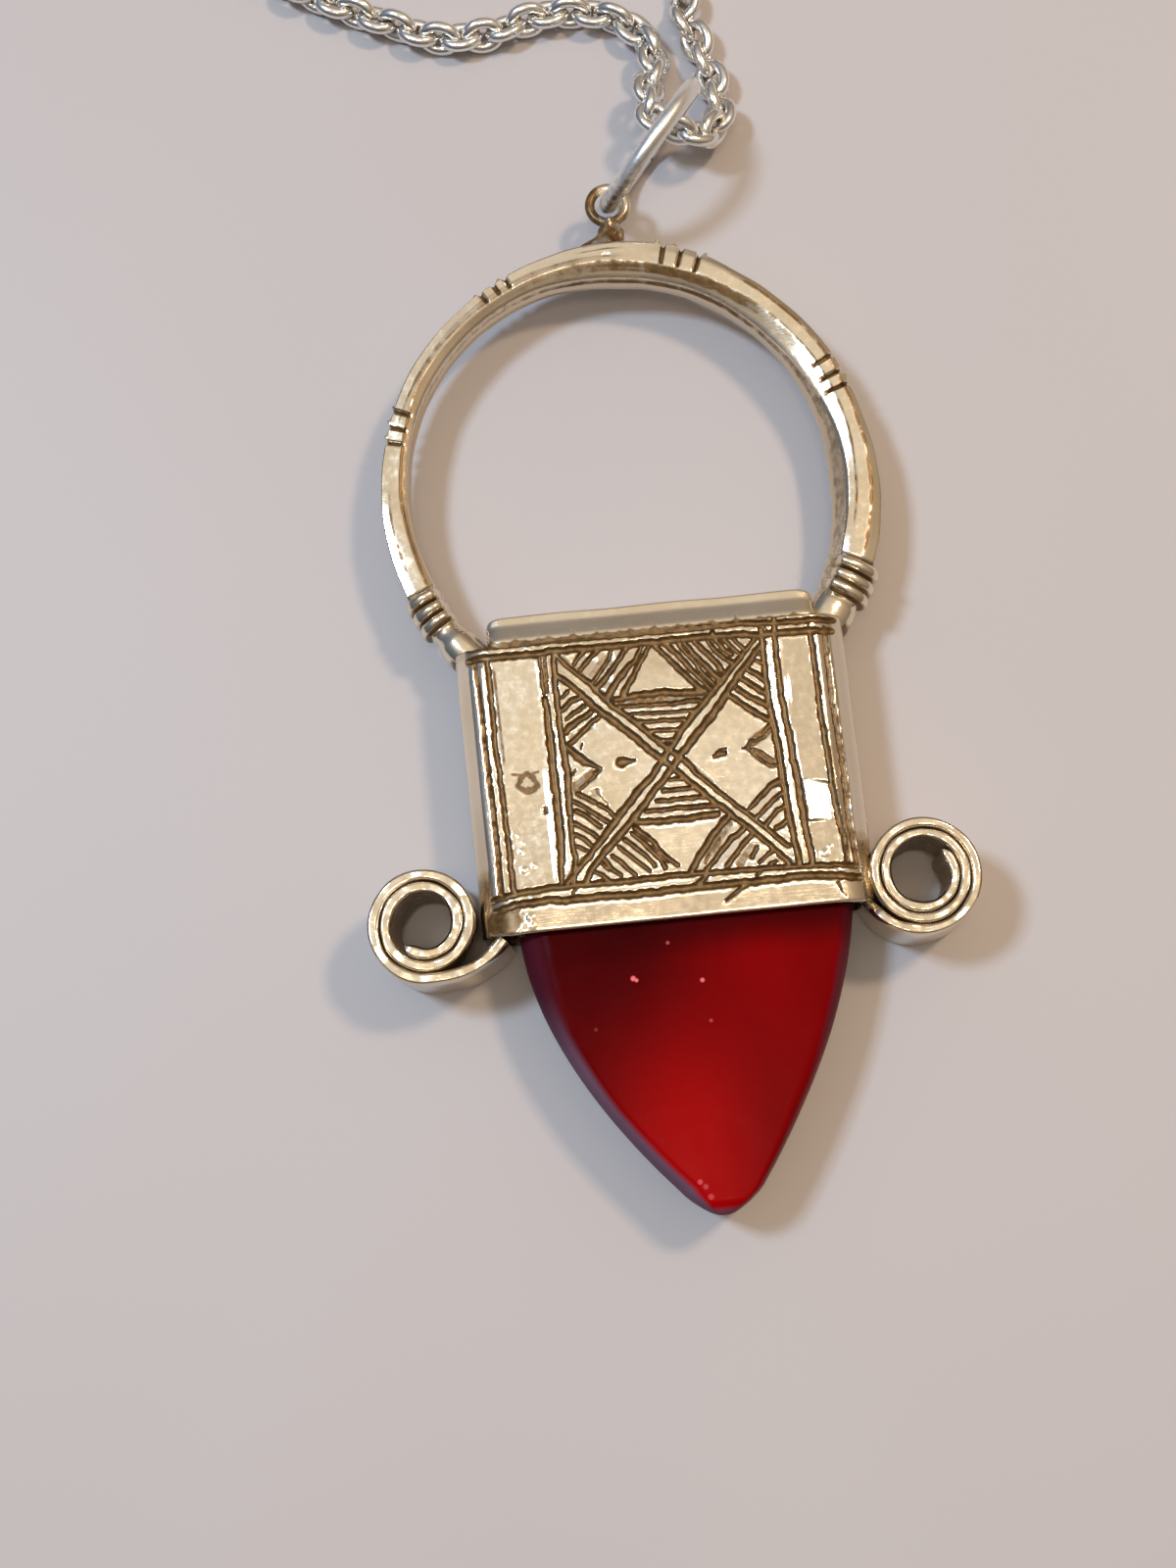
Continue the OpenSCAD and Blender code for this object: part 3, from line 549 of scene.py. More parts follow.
# Depth, tarnish and burr of the cuts at (x, y). A cut is deepest on its line and falls off as
# 1 - (distance / half)^4, where half is a little more than half its width; its tarnish ends at its
# edge, and a fine burr stands along it. The deepest cut counts.
def cutsAt(x, y, look):
    x = x + 0.012 * np.sin(6.1 * y + x) + 0.008 * np.sin(13 * y - 4 * x)
    y = y + 0.012 * np.sin(5.3 * x - y) + 0.008 * np.sin(11 * x + 5 * y)
    ragged = 1 + 0.15 * np.sin(8.1 * x + 3 * y) * np.sin(5.7 * y - 4 * x + 1)
    strokes = []
    for group in ("borders", "uprights", "sideLines", "diagonals", "hatches", "marks"):
        for w0, w1, *line in look[group]:
            p = np.reshape(line, (-1, 2))
            along = lengthAlong(p)
            w = w0 + (w1 - w0) * along / along[-1]
            strokes += list(zip(w[:-1], w[1:], p[:-1, 0], p[:-1, 1], p[1:, 0], p[1:, 1]))
    depth = np.zeros_like(x)
    stain = np.zeros_like(x)
    burr = np.zeros_like(x)

    # how far the points near a stroke are from it, and how far along it
    def nearTo(x0, y0, x1, y1, reach):
        near = ((x > min(x0, x1) - reach) & (x < max(x0, x1) + reach)
                & (y > min(y0, y1) - reach) & (y < max(y0, y1) + reach))
        px = x[near] - x0
        py = y[near] - y0
        run = (x1 - x0) ** 2 + (y1 - y0) ** 2
        t = np.clip((px * (x1 - x0) + py * (y1 - y0)) / run, 0, 1)
        return near, t, np.hypot(px - t * (x1 - x0), py - t * (y1 - y0))

    for w0, w1, *ends in strokes:
        near, t, away = nearTo(*ends, 0.4)
        half = 0.62 * (w0 + (w1 - w0) * t) * ragged[near]
        deep = np.clip(1 - (away / half) ** 4, 0, 1) * np.minimum(1.2, half / 0.11)
        depth[near] = np.maximum(depth[near], deep)
        stain[near] = np.maximum(stain[near], 1 - softStep(away, 0.95 * half, 1.3 * half + 0.04))
        burr[near] = np.maximum(burr[near], bump(away, half + 0.07, 0.09))
    for width, dark, *ends in look["films"]:
        near, t, away = nearTo(*ends, width)
        film = softStep(away, 0.6 * width, 0.35 * width)
        stain[near] = np.maximum(stain[near], dark * film)
        depth[near] = np.maximum(depth[near], 0.25 * film)
    burr = burr * (1 - np.clip(3 * depth, 0, 1))
    return depth * look["lineDepth"], stain, burr


# The case's section: along the front from left to right, over a quarter circle to the right side,
# round the back and up the left again. Gives x, z and the outward direction.
def caseSection(look):
    r = look["edgeR"]
    wide = look["halfWidth"]
    flat = wide - r
    high = look["thick"] - r
    # close together where the engraving is
    front = np.concatenate([np.arange(-flat, -5.78, 0.075), np.arange(-5.72, 7.0, look["cell"]),
                            np.linspace(7.06, flat - 0.07, 10)])
    turn = np.concatenate([np.arange(0, 48, 1.9), np.linspace(50, 90, 9)])
    back = np.linspace(0, 90, 9)
    side = np.linspace(high, r, 4)[1:-1]
    middle = np.linspace(-flat, flat, 12)[1:-1]

    def straight(x, z, outX, outZ):
        return np.stack(np.broadcast_arrays(x, z, outX, outZ), -1)

    def arc(cx, cz, start, angles):
        a = np.radians(start - angles)
        return np.stack([cx + r * np.cos(a), cz + r * np.sin(a), np.cos(a), np.sin(a)], -1)

    return np.vstack([
        straight(front, look["thick"], 0, 1), arc(flat, high, 90, turn),
        straight(wide, side, 1, 0), arc(flat, r, 0, back),
        straight(-middle, 0, 0, -1), arc(-flat, r, 270, back),
        straight(-wide, side[::-1], -1, 0), arc(-flat, high, 180, 90 - turn[::-1])])


# The section is carried up along y, and each point is pushed out along its outward direction:
# ribs + burrs + dents + hammered waves - cuts - what the worn edges have lost.
def makeCase(look):
    section = caseSection(look)
    foot = look["foot"]
    top = look["top"]
    y = np.concatenate([foot + np.array([0, 0.03, 0.09]), np.arange(-6.86, -6.05, 0.08),
                        np.arange(-6.0, top - 0.1, look["cell"]), top - np.array([0.06, 0.02, 0])])
    x, z, nx, nz = (section[None, :, k] for k in range(4))
    shape = (len(y), len(section))
    yy = np.broadcast_to(y[:, None], shape)
    xx = np.broadcast_to(x, shape)
    facing = np.broadcast_to(softStep(z, 4.0, 4.6), shape)
    leaning = look["lean"] * yy
    depth, stain, burr = cutsAt(xx + leaning, yy, look)
    # bright ribs stand up between the side lines and beside the uprights
    ribs = largest(*(bump(np.abs(xx), at, half) for at, half in look["sideRibs"]))
    ribs = ribs * look["ribHeight"] * softBand(yy, *look["ribSpan"])
    fine = bump(xx, -5.05, 0.2) * softStep(yy, 4.0, 2.0) + bump(xx, -5.7, 0.15) * softStep(yy, 1.2, 0.6)
    fine = fine + bump(xx, 6.04 - 0.04 * yy, 0.2) + bump(xx, 6.62, 0.14) * bump(yy, 3.7, 1.2)
    ribs = ribs + look["fineRibHeight"] * fine * softBand(yy, *look["fineRibSpan"])
    # hammered by hand: slow hollows over the faces, small dents, and one flat spot at the lower right
    waves = 0.022 * np.sin(0.62 * xx + 0.9) * np.sin(0.55 * yy + 0.3) + 0.014 * np.sin(1.3 * xx - 0.8 * yy)
    waves = waves + 0.03 * bump(xx, 3.2, 3.0) * bump(yy, 1.0, 3.2)
    dents = sum(roundBump(xx, yy, dx, dy, r) * r * look["dentHeight"] for dx, dy, r in look["dents"])
    spot = softBand(xx, *look["spotSides"]) * softStep(yy + 0.08 * xx, *look["spotFoot"])
    spot = spot * softStep(yy + 0.25 * xx, *look["spotTop"])
    filed = (0.16 * (xx - 7.45) + 0.05 * (yy + 1.9)) * spot
    out = facing * (ribs - depth + look["burrHeight"] * burr + dents - filed)
    out = out + waves * softStep(z, 0.5, 2.0)
    for reach, gap in ((look["wornEdge"], yy - foot), (look["wornTop"], top - yy)):
        out = out - reach * (1 - roundEnd(gap / reach))
    body = np.stack([xx + nx * out + leaning, yy, z + nz * out], -1)
    # the foot turns in over the sheet's edge and runs up inside; the top closes flat
    sheet = look["sheet"]
    limit = look["halfWidth"] - sheet
    innerX = np.clip(section[:, 0] - section[:, 2] * sheet, -limit, limit)
    inner = np.stack([innerX, 0 * innerX, section[:, 1] - section[:, 3] * sheet], -1)
    lid = body[-1] * [0.97, 1, 0.9] + [0, 0, 0.3]
    grid = np.concatenate([[inner + [0, top - sheet, 0], inner + [0, foot + 0.02, 0]], body, [lid]])
    # tarnish in a ragged brown ring at the left, with a tail, and in a thin line above it
    ringAtX, ringAtY, ringR, ringHalf = look["brownRing"]
    ringX = xx - ringAtX + 0.08 * np.sin(3 * yy)
    ringY = yy - ringAtY
    turn = np.arctan2(ringY, ringX)
    ring = np.hypot(ringX / 1.1, ringY) + 0.05 * np.sin(3 * turn) + 0.03 * np.sin(7 * turn)
    spots = 0.8 * bump(ring, ringR, ringHalf) + 0.42 * bump(ring, 0.0, 2 * ringHalf)
    spots = spots + 0.6 * roundBump(xx, yy, -6.62, -0.2, 0.3) + 0.5 * roundBump(xx, yy, -6.35, -0.42, 0.3)
    tail = bump(yy - 0.78 - 0.14 * np.abs(xx + 6.8) ** 1.5, 0.0, 0.2)
    tail = tail * softBand(xx, -7.8, -7.3, -6.1, -5.85)
    thin = bump(xx + 7.7 + 0.012 * yy, 0.0, 0.22) * softBand(yy, 0.9, 1.6, 6.0, 6.8)
    # and along the bar's foot; painted shadow in a dark wedge low down each side, beside the scrolls, and a
    # light film of painted shade on the sides
    left = xx < 0
    sideShadowHalf = 0.02 + 0.06 * softStep(-yy, 2.7, 7.0) * left
    sideShadow = bump(nx, np.where(left, -0.80, 0.985), sideShadowHalf) * softStep(-yy, 2.7, 3.4) * (z > 3.0)
    film = softStep(np.abs(nx), 0.72, 0.9) * (z > 1.5)
    barFoot = softStep(yy, 7.34, 7.42)
    onFront = largest(stain, spots, 0.75 * tail, 0.75 * thin, 0.75 * barFoot)
    stain = largest(facing * onFront, 0.85 * sideShadow, 0.14 * film)
    # painted shade: the face is duller towards its upper and lower edges, on the right (half as much on the
    # filed spot), at the lower left and along its top, and the sides and back are duller still
    toneAndShade = largest(
        0.75 * softStep(yy, 4.2, 6.0) * softStep(np.abs(xx), 5.6, 5.0), 0.75 * softStep(yy, -5.5, -5.9),
        0.7 * softStep(xx, 6.3, 6.7) * (1 - 0.5 * spot),
        0.6 * softStep(xx, -5.6, -6.0) * softStep(yy, 1.0, -3.5), 0.6 * softStep(yy, 6.9, 7.1))
    toneAndShade = toneAndShade * facing + 0.8 * (1 - facing)
    row = np.ones((1, len(section)))
    stain = np.concatenate([0.9 * row, 0.4 * row, stain, 0.8 * row])
    toneAndShade = np.concatenate([row, row, toneAndShade, row])
    return surface("case", grid, {"patinaAndShade": stain, "toneAndShade": toneAndShade}, sharp=50)


finishPiece(makeCase(case), "setting", engravedSilver)


# The bevelled bar along the case's top
topBar = {"half": 8.2, "end": 0.9, "foot": 7.4, "height": 1.55, "midZ": 3.0, "depth": 2.85, "bevel": 0.34}


# The section (height above the case, depth) is carried along x; over its last bit each end draws
# in as a quarter ellipse.
def makeTopBar(look):
    h = look["height"]
    d = look["depth"]
    b = look["bevel"]
    half = look["half"]
    front = np.array([[-0.3, d], [0.25, d], [h - 0.5, d - b], [h - 0.08, d - b - 0.05], [h, d - 1.5 * b]])
    corners = np.vstack([front, front[::-1] * [1, -1]])
    profile = softCorners(corners[None], 9, 2)
    ends = look["end"] * (1 - np.cos(np.linspace(0, np.pi / 2, 12)))
    x = np.concatenate([ends, np.linspace(1.0, 2 * half - 1.0, 90), 2 * half - ends[::-1]])[:, None] - half
    draw = roundEnd((half - np.abs(x)) / look["end"]) ** 0.6
    up = profile[:, :, 0] * (0.55 + 0.45 * draw)
    deep = profile[:, :, 1] * (0.86 + 0.14 * draw)
    wave = 0.02 * np.sin(1.1 * x + 0.5) * softStep(up, 0.6, 1.4)
    grid = np.stack([0.1 + x + 0 * up, look["foot"] + up + wave - 0.008 * x, look["midZ"] + deep], -1)
    smudge = 0.5 + 0.5 * np.sin(3.1 * x + 1) * np.sin(7.7 * x)
    patinaAndShade = 0.95 * softStep(up, 0.3, 0.0) + 0.62 * smudge ** 2 * softStep(up, 0.8, 0.3)
    # painted shade: the bar's front is duller below its upper edge
    toneAndShade = 0.2 * softStep(up, h - 0.54, h - 0.64)
    return surface("top_bar", grid, {"patinaAndShade": patinaAndShade, "toneAndShade": toneAndShade}, sharp=40)


finishPiece(makeTopBar(topBar), "setting", engravedSilver)


# The hoop: a forged bar with soft facets, filed grooves, three collars at each end and flared stubs.
# Each row: angle clockwise from the top, then the radii of the outer side, the two front creases, the
# inner ridge and the inner side, and how high the outer edge and the inner ridge stand.
hoop = {
    "centre": (-0.15, 15.8, 3.0), "end": 134.0, "rows": 900,
    "facets": [
        (-134, 13.08, 12.6, 11.85, 11.45, 11.27, 0.98, 0.95),
        (-122, 13.01, 12.5, 11.8, 11.4, 11.27, 1, 0.95),
        (-110, 12.9, 12.4, 11.68, 11.36, 11.23, 1.06, 0.98),
        (-100, 12.88, 12.38, 11.67, 11.42, 11.29, 1.07, 1),
        (-90, 12.83, 12.42, 11.78, 11.46, 11.35, 1.13, 1), (-80, 12.82, 12.4, 11.84, 11.53, 11.42, 1.15, 1),
        (-70, 12.84, 12.36, 11.94, 11.6, 11.49, 1.14, 1),
        (-60, 12.89, 12.38, 12.12, 11.66, 11.55, 1.12, 0.92),
        (-50, 12.9, 12.42, 12.12, 11.67, 11.55, 1.13, 0.9),
        (-40, 12.87, 12.42, 12.1, 11.65, 11.53, 1.13, 0.9),
        (-30, 12.86, 12.38, 12.05, 11.6, 11.49, 1.13, 0.9),
        (-20, 12.9, 12.38, 12.05, 11.52, 11.39, 1.13, 0.86), (-10, 12.95, 12.3, 12, 11.3, 11.15, 1.12, 0.8),
        (0, 12.98, 12.28, 11.9, 11.1, 10.93, 1.1, 0.76), (10, 12.95, 12.35, 11.75, 11, 10.82, 1.08, 0.76),
        (20, 12.85, 12.4, 11.62, 10.9, 10.69, 1.04, 0.78),
        (30, 12.58, 12.25, 11.5, 10.76, 10.55, 0.98, 0.8),
        (40, 12.48, 12.15, 11.45, 10.62, 10.42, 0.98, 0.74),
        (50, 12.43, 12.1, 11.42, 10.52, 10.3, 0.98, 0.78),
        (60, 12.41, 12.08, 11.45, 10.54, 10.23, 0.98, 0.88),
        (70, 12.41, 12.05, 11.46, 10.66, 10.19, 0.96, 0.93),
        (80, 12.49, 12.08, 11.48, 10.84, 10.17, 0.94, 1), (90, 12.67, 12.2, 11.5, 11, 10.19, 0.9, 1.08),
        (100, 12.88, 12.36, 11.58, 11.12, 10.33, 0.86, 1.1),
        (110, 13.11, 12.46, 11.7, 11.26, 10.57, 0.84, 1.1), (120, 13.23, 12.55, 11.8, 11.4, 10.87, 0.84, 1),
        (134, 13.38, 12.7, 11.85, 11.5, 11.27, 0.84, 0.95),
    ],
    "frontZ": 1.16, "sideZ": 0.2, "soften": 1, "roundZ": 1.16, "roundness": 0.8,
    # grooves: angle, and the radius where the groove runs out on the inside; burrs stand beside them
    "grooves": [
        (-74.6, 11.95), (-70.9, 11.95), (-66.9, 11.95), (-32, 12.2), (-28.3, 12.2), (-25.2, 12.2),
        (13.4, 11.8), (17.7, 11.75), (22.2, 11.7), (63.2, 11.2), (67.5, 11.15), (71.2, 11.1),
    ],
    "grooveHalf": 0.72, "grooveDepth": 0.17, "halfBar": 0.9,
    "burrs": [
        (-73.4, 0.16), (-69.8, 0.18), (-66.2, 0.16), (-33.2, 0.1), (-26.6, 0.12), (11.8, 0.24), (16, 0.16),
        (23.6, 0.16), (69, 0.06),
    ],
    "collars": [-114.7, -118.0, -121.2, 117.5, 120.8, 123.7], "collarHalf": 1.5, "collarSwell": 0.36,
    "gaps": [-113.0, -116.3, -119.7, -122.7, 115.8, 119.2, 122.3, 125.2], "gapHalf": 0.8, "gapDepth": 0.06,
    # where the stubs start; then, from the top, where they flare and by how much, and where they are
    # thinnest, how far that reaches and by how much
    "stubs": (-123.2, 125.8), "flare": (122, 130, 0.13), "neck": (124.5, 3.0, 0.1),
    # the dimple on the front, under the eyelet: angle, radius, depth
    "dimple": (-0.3, 12.25, 0.06),
    # by angle: tarnish in the outer crease, in the inner crease and between them; painted shade on the inner
    # facet and on the inner side; then how dull the outer, middle and inner facets are, which is painted
    # shade
    "films": [
        (-134, 0, 0, 0, 0, 0.4, 0.1, 0.2, 0.7), (-114, 0, 0, 0, 0, 0.4, 0.1, 0.2, 0.7),
        (-111, 0.62, 0.84, 0, 0.2, 0.4, 0, 0.2, 0.8), (-93, 0.7, 0.84, 0, 0.24, 0.4, 0, 0.2, 0.9),
        (-87, 0.5, 0.84, 0, 0.24, 0.4, 0.5, 0.3, 0.9), (-76, 0.24, 0.84, 0, 0.24, 0.4, 0.45, 0.35, 0.9),
        (-66, 0.6, 0.7, 0.4, 0.3, 0.4, 0.3, 0.6, 1), (-56, 0.66, 0.4, 0.66, 0.36, 0.4, 0.2, 0.8, 1),
        (-38, 0.5, 0.2, 0.6, 0.42, 0.5, 0.1, 0.8, 1), (-20, 0.45, 0.3, 0.56, 0.5, 0.6, 0, 0.8, 1),
        (-8, 0.35, 0.4, 0.62, 0.62, 0.8, 0, 0.8, 1), (5, 0.2, 0.6, 0.4, 0.8, 0.85, 0, 0.4, 1),
        (20, 0.25, 0.6, 0, 0.88, 0.85, 0.1, 0.1, 1), (36, 0.7, 0.7, 0, 0.84, 0.8, 0.3, 0, 1),
        (48, 0.72, 0.74, 0, 0.42, 0.7, 0.3, 0, 0.9), (56, 0.66, 0.72, 0, 0.1, 0.6, 0.3, 0, 0.1),
        (72, 0.66, 0.66, 0, 0, 0.55, 0.25, 0, 0), (90, 0.7, 0.7, 0, 0, 0.5, 0.15, 0, 0),
        (104, 0.76, 0.66, 0, 0, 0.5, 0.15, 0.1, 0.2), (113, 0.74, 0.1, 0, 0, 0.45, 0.2, 0.2, 0.4),
        (116, 0, 0, 0, 0, 0.4, 0.3, 0.2, 0.5), (134, 0, 0, 0, 0, 0.4, 0.3, 0.2, 0.5),
    ],
}


# At each angle ten corners make the section, and softCorners rounds it off. Under the collars and at
# the stubs it nears an ellipse; collars swell it, gaps pinch it, grooves cut it. A point (r, z) of the
# section then stands at centre + r * (sin angle, cos angle), at height z.
def makeHoop(look):
    angle = np.linspace(-look["end"], look["end"], look["rows"])
    table = np.array(look["facets"], float).T
    r0, r1, r2, r3, r4, outerZ, innerZ = (smoothTable(angle, table[0], column) for column in table[1:])
    front = look["frontZ"]
    side = look["sideZ"]
    corners = [(r0, side), (r0 - 0.03, outerZ), (r1, front), (r2, front), (r3, innerZ), (r4, 0),
               (r4 + 0.05, -3 * side), (r2, -front), (r1, -front), (r0, -3 * side)]
    corners = np.stack([np.stack(np.broadcast_arrays(*corner), -1) for corner in corners], 1)
    line = softCorners(corners, 7, look["soften"])
    plain = line[:, :, 0]
    plainZ = line[:, :, 1]
    a = angle[:, None]
    fromTop = np.abs(a)
    r0, r1, r2, r3, r4 = (v[:, None] for v in (r0, r1, r2, r3, r4))
    # round sections under the collars and at the stubs
    middle = (r0 + r4) / 2
    reach = (r0 - r4) / 2
    turn = np.arctan2(plainZ / 1.2, (plain - middle) / reach)
    beads = sum(roundEnd(1 - np.abs(a - at) / look["collarHalf"]) for at in look["collars"])
    low, high = look["stubs"]
    stub = softStep(a, low + 0.3, low - 0.6) + softStep(a, high - 0.3, high + 0.6)
    roundness = look["roundness"] * np.clip(np.maximum(beads, stub), 0, 1)
    r = plain + roundness * (middle + reach * np.cos(turn) - plain)
    z = plainZ + roundness * (look["roundZ"] * np.sin(turn) - plainZ)
    outer = softStep(r, 11.35, 11.75)
    swell = look["collarSwell"] * beads * (0.15 + 0.85 * outer)
    flareFrom, flareTo, flareBy = look["flare"]
    neckAt, neckHalf, neckBy = look["neck"]
    flare = stub * (flareBy * softStep(fromTop, flareFrom, flareTo)
                    - neckBy * bump(fromTop, neckAt, neckHalf))
    pinch = look["gapDepth"] * sum(bump(a, at, look["gapHalf"]) for at in look["gaps"])
    cut = largest(*(np.clip(1 - np.abs(a - at) / look["grooveHalf"], 0, 1)
                    * softStep(r, out - 0.15, out + 0.1) for at, out in look["grooves"]))
    hammer = 0.012 * np.sin(0.21 * a + 2 * turn) + 0.008 * np.sin(0.53 * a)
    dimpleAt, dimpleR, dimpleDepth = look["dimple"]
    dimple = dimpleDepth * bump(a, dimpleAt, 1.3) * bump(r, dimpleR, 0.14) * (z > 0)
    burrs = sum(tall * bump(a, at, 0.75) for at, tall in look["burrs"]) * softStep(plain, r0 - 0.2, r0)
    scale = 1 + swell + flare - pinch + hammer - cut * look["grooveDepth"] / look["halfBar"] - dimple
    r = middle + (r - middle) * scale + burrs
    z = z * scale
    cx, cy, cz = look["centre"]
    t = np.radians(a)
    grid = np.stack([cx + r * np.sin(t), cy + r * np.cos(t), cz + z], -1)
    # the films: streaks run along the bar and break up
    films = np.array(look["films"], float).T
    outerLine, innerLine, between, innerFacetShade, innerSideShade, outerFacetShade, middleFacetShade, ridgeFacetShade = (
        np.interp(a, films[0], column) for column in films[1:])
    streak = 0.92 + 0.12 * np.sin(0.9 * a) * np.sin(0.37 * a + 1) + 0.1 * np.sin(26 * plain + 0.2 * a)
    isOuter = softStep(plain, r1 - 0.03, r1 + 0.03)
    isInner = softStep(r2 - plain, -0.03, 0.03)
    isSide = softStep(r3 - plain, 0.0, 0.06)
    isMiddle = (1 - isOuter) * (1 - isInner)
    isRidge = isInner * (1 - isSide)
    # the inner facet's and the inner side's share of the film is painted shade
    film = largest(
        1.2 * outerLine * bump(plain, r1 - 0.03, 0.22), 1.2 * innerLine * bump(plain, r2 - 0.02, 0.2),
        between * isMiddle, innerFacetShade * isRidge * (1 - 0.5 * softStep(r2 - plain, 0.42, 0.56)),
        innerSideShade * isSide)
    # tarnish in the grooves, between the collars, at the stubs' ends, by the eyelet, in the dimple
    gaps = sum(bump(a, at, 0.95) for at in look["gaps"])
    patinaAndShade = largest(
        softStep(cut, 0.15, 0.5), 0.95 * np.clip(gaps * outer, 0, 1),
        0.8 * softStep(fromTop, 128.5, 131.5) * (0.3 + 0.7 * (z < 0.9)),
        0.85 * bump(a, 0.6, 8) * softStep(r, 12.72, 12.95),
        0.75 * bump(a, dimpleAt, 1.2) * bump(r, dimpleR, 0.12) * (z > 0), film * streak * (plainZ > 0.3))
    # painted shade: each facet is dulled by angle, and the inner side fully
    toneAndShade = outerFacetShade * isOuter + middleFacetShade * isMiddle + ridgeFacetShade * isRidge + isSide
    return surface("hoop", grid, {"patinaAndShade": patinaAndShade, "toneAndShade": toneAndShade}, sharp=24)


finishPiece(makeHoop(hoop), "setting", engravedSilver)


# The two scrolls: a strip that leaves the case's lower corner and winds up into a coil
scrolls = {
    "stripZ": (0.2, 5.6), "perTurn": 72, "soft": 0.10,
    "right": {"side": 1, "centre": (12.17, -5.94), "strip": 0.40, "turns": 2.375, "pitch": 0.54, "endR": 2.76,
              "cant": 0.0, "sink": 0.2, "lead": [(-1.5, 0.0), (9.75, -8.0), (9.3, -6.7)]},
    "left": {"side": -1, "centre": (12.42, -5.99), "strip": 0.46, "turns": 2.125, "pitch": 0.61, "endR": 2.72,
             "cant": 0.02, "sink": 0.0, "lead": [(-1.9, 0.0), (9.6, -8.3), (8.6, -7.15)]},
}


# The strip's middle line winds out clockwise: at an angle back before its lowest point the radius is
# endR - pitch * back / 360. From the lowest point a cubic curve leads up to the case. A point of the
# strip's section then stands at middle line + across * side direction, at its own height.
def makeScroll(name, look, both):
    cx, cy = look["centre"]
    steps = int(look["turns"] * both["perTurn"])
    back = np.linspace(360 * look["turns"], 0, steps)
    r = look["endR"] - look["pitch"] * back / 360 + 0.03 * np.sin(np.radians(2 * back + 40))
    a = np.radians(180 - back)
    coil = np.stack([cx + r * np.sin(a), cy + r * np.cos(a)], -1)
    low = coil[-1]
    p = np.array([low, low + look["lead"][0], *look["lead"][1:]])
    t = np.linspace(0, 1, 26)[1:, None]
    lead = (1 - t) ** 3 * p[0] + 3 * t * (1 - t) ** 2 * p[1] + 3 * t ** 2 * (1 - t) * p[2] + t ** 3 * p[3]
    path = np.vstack([coil, lead])
    n = len(path)
    ahead = unit(np.gradient(path, axis=0))
    side = np.stack([-ahead[:, 1], ahead[:, 0]], -1)
    bottom, top = both["stripZ"]
    half = look["strip"] / 2
    deep = (top - bottom) / 2
    soft = both["soft"]
    # the strip's section: four quarter circles and the walls between them
    quarter = np.radians(np.linspace(0, 90, 5))
    rounds = []
    for k, (sx, sz) in enumerate(((1, 1), (-1, 1), (-1, -1), (1, -1))):
        w = quarter + k * np.pi / 2
        middle = np.array([sx * (half - soft), sz * (deep - soft)])
        rounds.append(middle + soft * np.stack([np.cos(w), np.sin(w)], -1))
    walls = np.array([0.015, 0.04, 0.08, 0.3, 0.6, 0.85])[:, None]
    profile = []
    for corner, following in zip(rounds, rounds[1:] + rounds[:1]):
        profile += [corner, corner[-1] * (1 - walls) + following[0] * walls]
    across, height = np.vstack(profile).T[:, None]
    down = deep - height
    # below its worn edge the strip thickens, so that the turns nearly meet
    thicker = (look["pitch"] / 2 - 0.01) / half - 1
    across = across * (1 + softStep(down, 0.55 * soft, 1.55 * soft) * thicker)
    along = np.arange(n)[:, None]
    tuck = np.maximum(roundEnd(along / 5), np.sqrt(0.02))
    # cut by hand: its edge is a little uneven in width and height
    uneven = 1 + 0.10 * np.sin(0.37 * along) * np.sin(0.113 * along + 1)
    xy = path[:, None] + side[:, None] * (across * tuck * uneven)[:, :, None]
    z = (bottom + top) / 2 + height * (0.97 + 0.03 * tuck)
    z = z + 0.03 * np.sin(0.29 * along) + 0.02 * np.sin(0.83 * along) - 0.05
    z = z - (z - bottom) * look["sink"] * softStep(along, n - 9, n - 1)
    z = z + look["cant"] * (xy[:, :, 0] - cx)
    grid = np.stack([look["side"] * xy[:, :, 0], xy[:, :, 1], z], -1)
    # the facing sides of the turns keep their tarnish; the front edge and the outside are worn bright
    outerTurn = np.append(back < 360, np.ones(n - steps, bool))[:, None]
    wall = softStep(down, 0.04, 0.11) * softStep(z - bottom, 0.05, 0.22)
    patinaAndShade = wall * np.where((across > 0.5 * half) & outerTurn, 0.08, 0.68 + 0.1 * (down > 0.8))
    # the hole's wall is rubbed bright on its near side
    away = ((path - [cx, cy]) @ [0.66, 0.75])[:, None]
    rubbed = (across < -0.5 * half) & (along < both["perTurn"])
    patinaAndShade = patinaAndShade * np.where(rubbed, 0.12 + 0.88 * softStep(away, -0.5, 0.4), 1)
    rim = bump(across, half, 0.1) * softStep(height, deep - 0.2, deep - 0.08) * (xy[:, :, 1] > cy - 1.5)
    patinaAndShade = largest(patinaAndShade, 0.7 * rim * outerTurn, 0.7 * softStep(along, n - 8, n - 2) * (across < 0))
    return surface(name, grid, {"patinaAndShade": patinaAndShade, "toneAndShade": 0.5 + 0.1 * wall}, sharp=50)


for hand in ("right", "left"):
    scroll = makeScroll("scroll_" + hand, scrolls[hand], scrolls)
    finishPiece(scroll, "setting", engravedSilver)


# A round bar bent into a ring: centre + (radius + r cos b) * direction a + r sin b * axis.
def ringGrid(centre, radius, wire, rows, cols, axisX=(1, 0, 0), axisY=(0, 1, 0)):
    a = np.linspace(0, 2 * np.pi, rows, endpoint=False)[:, None, None]
    b = np.linspace(0, 2 * np.pi, cols, endpoint=False)[None, :, None]
    outward = np.cos(a) * axisX + np.sin(a) * axisY
    r = wire / 2
    return centre + (radius + r * np.cos(b)) * outward + r * np.sin(b) * np.cross(axisX, axisY)


# The eyelet on top of the hoop, with the lump of solder that holds it
eyelet = {"centre": (0.15, 31.2, 3.0), "radius": 0.95, "wire": 0.52, "footY": 28.3, "footTop": 30.42}


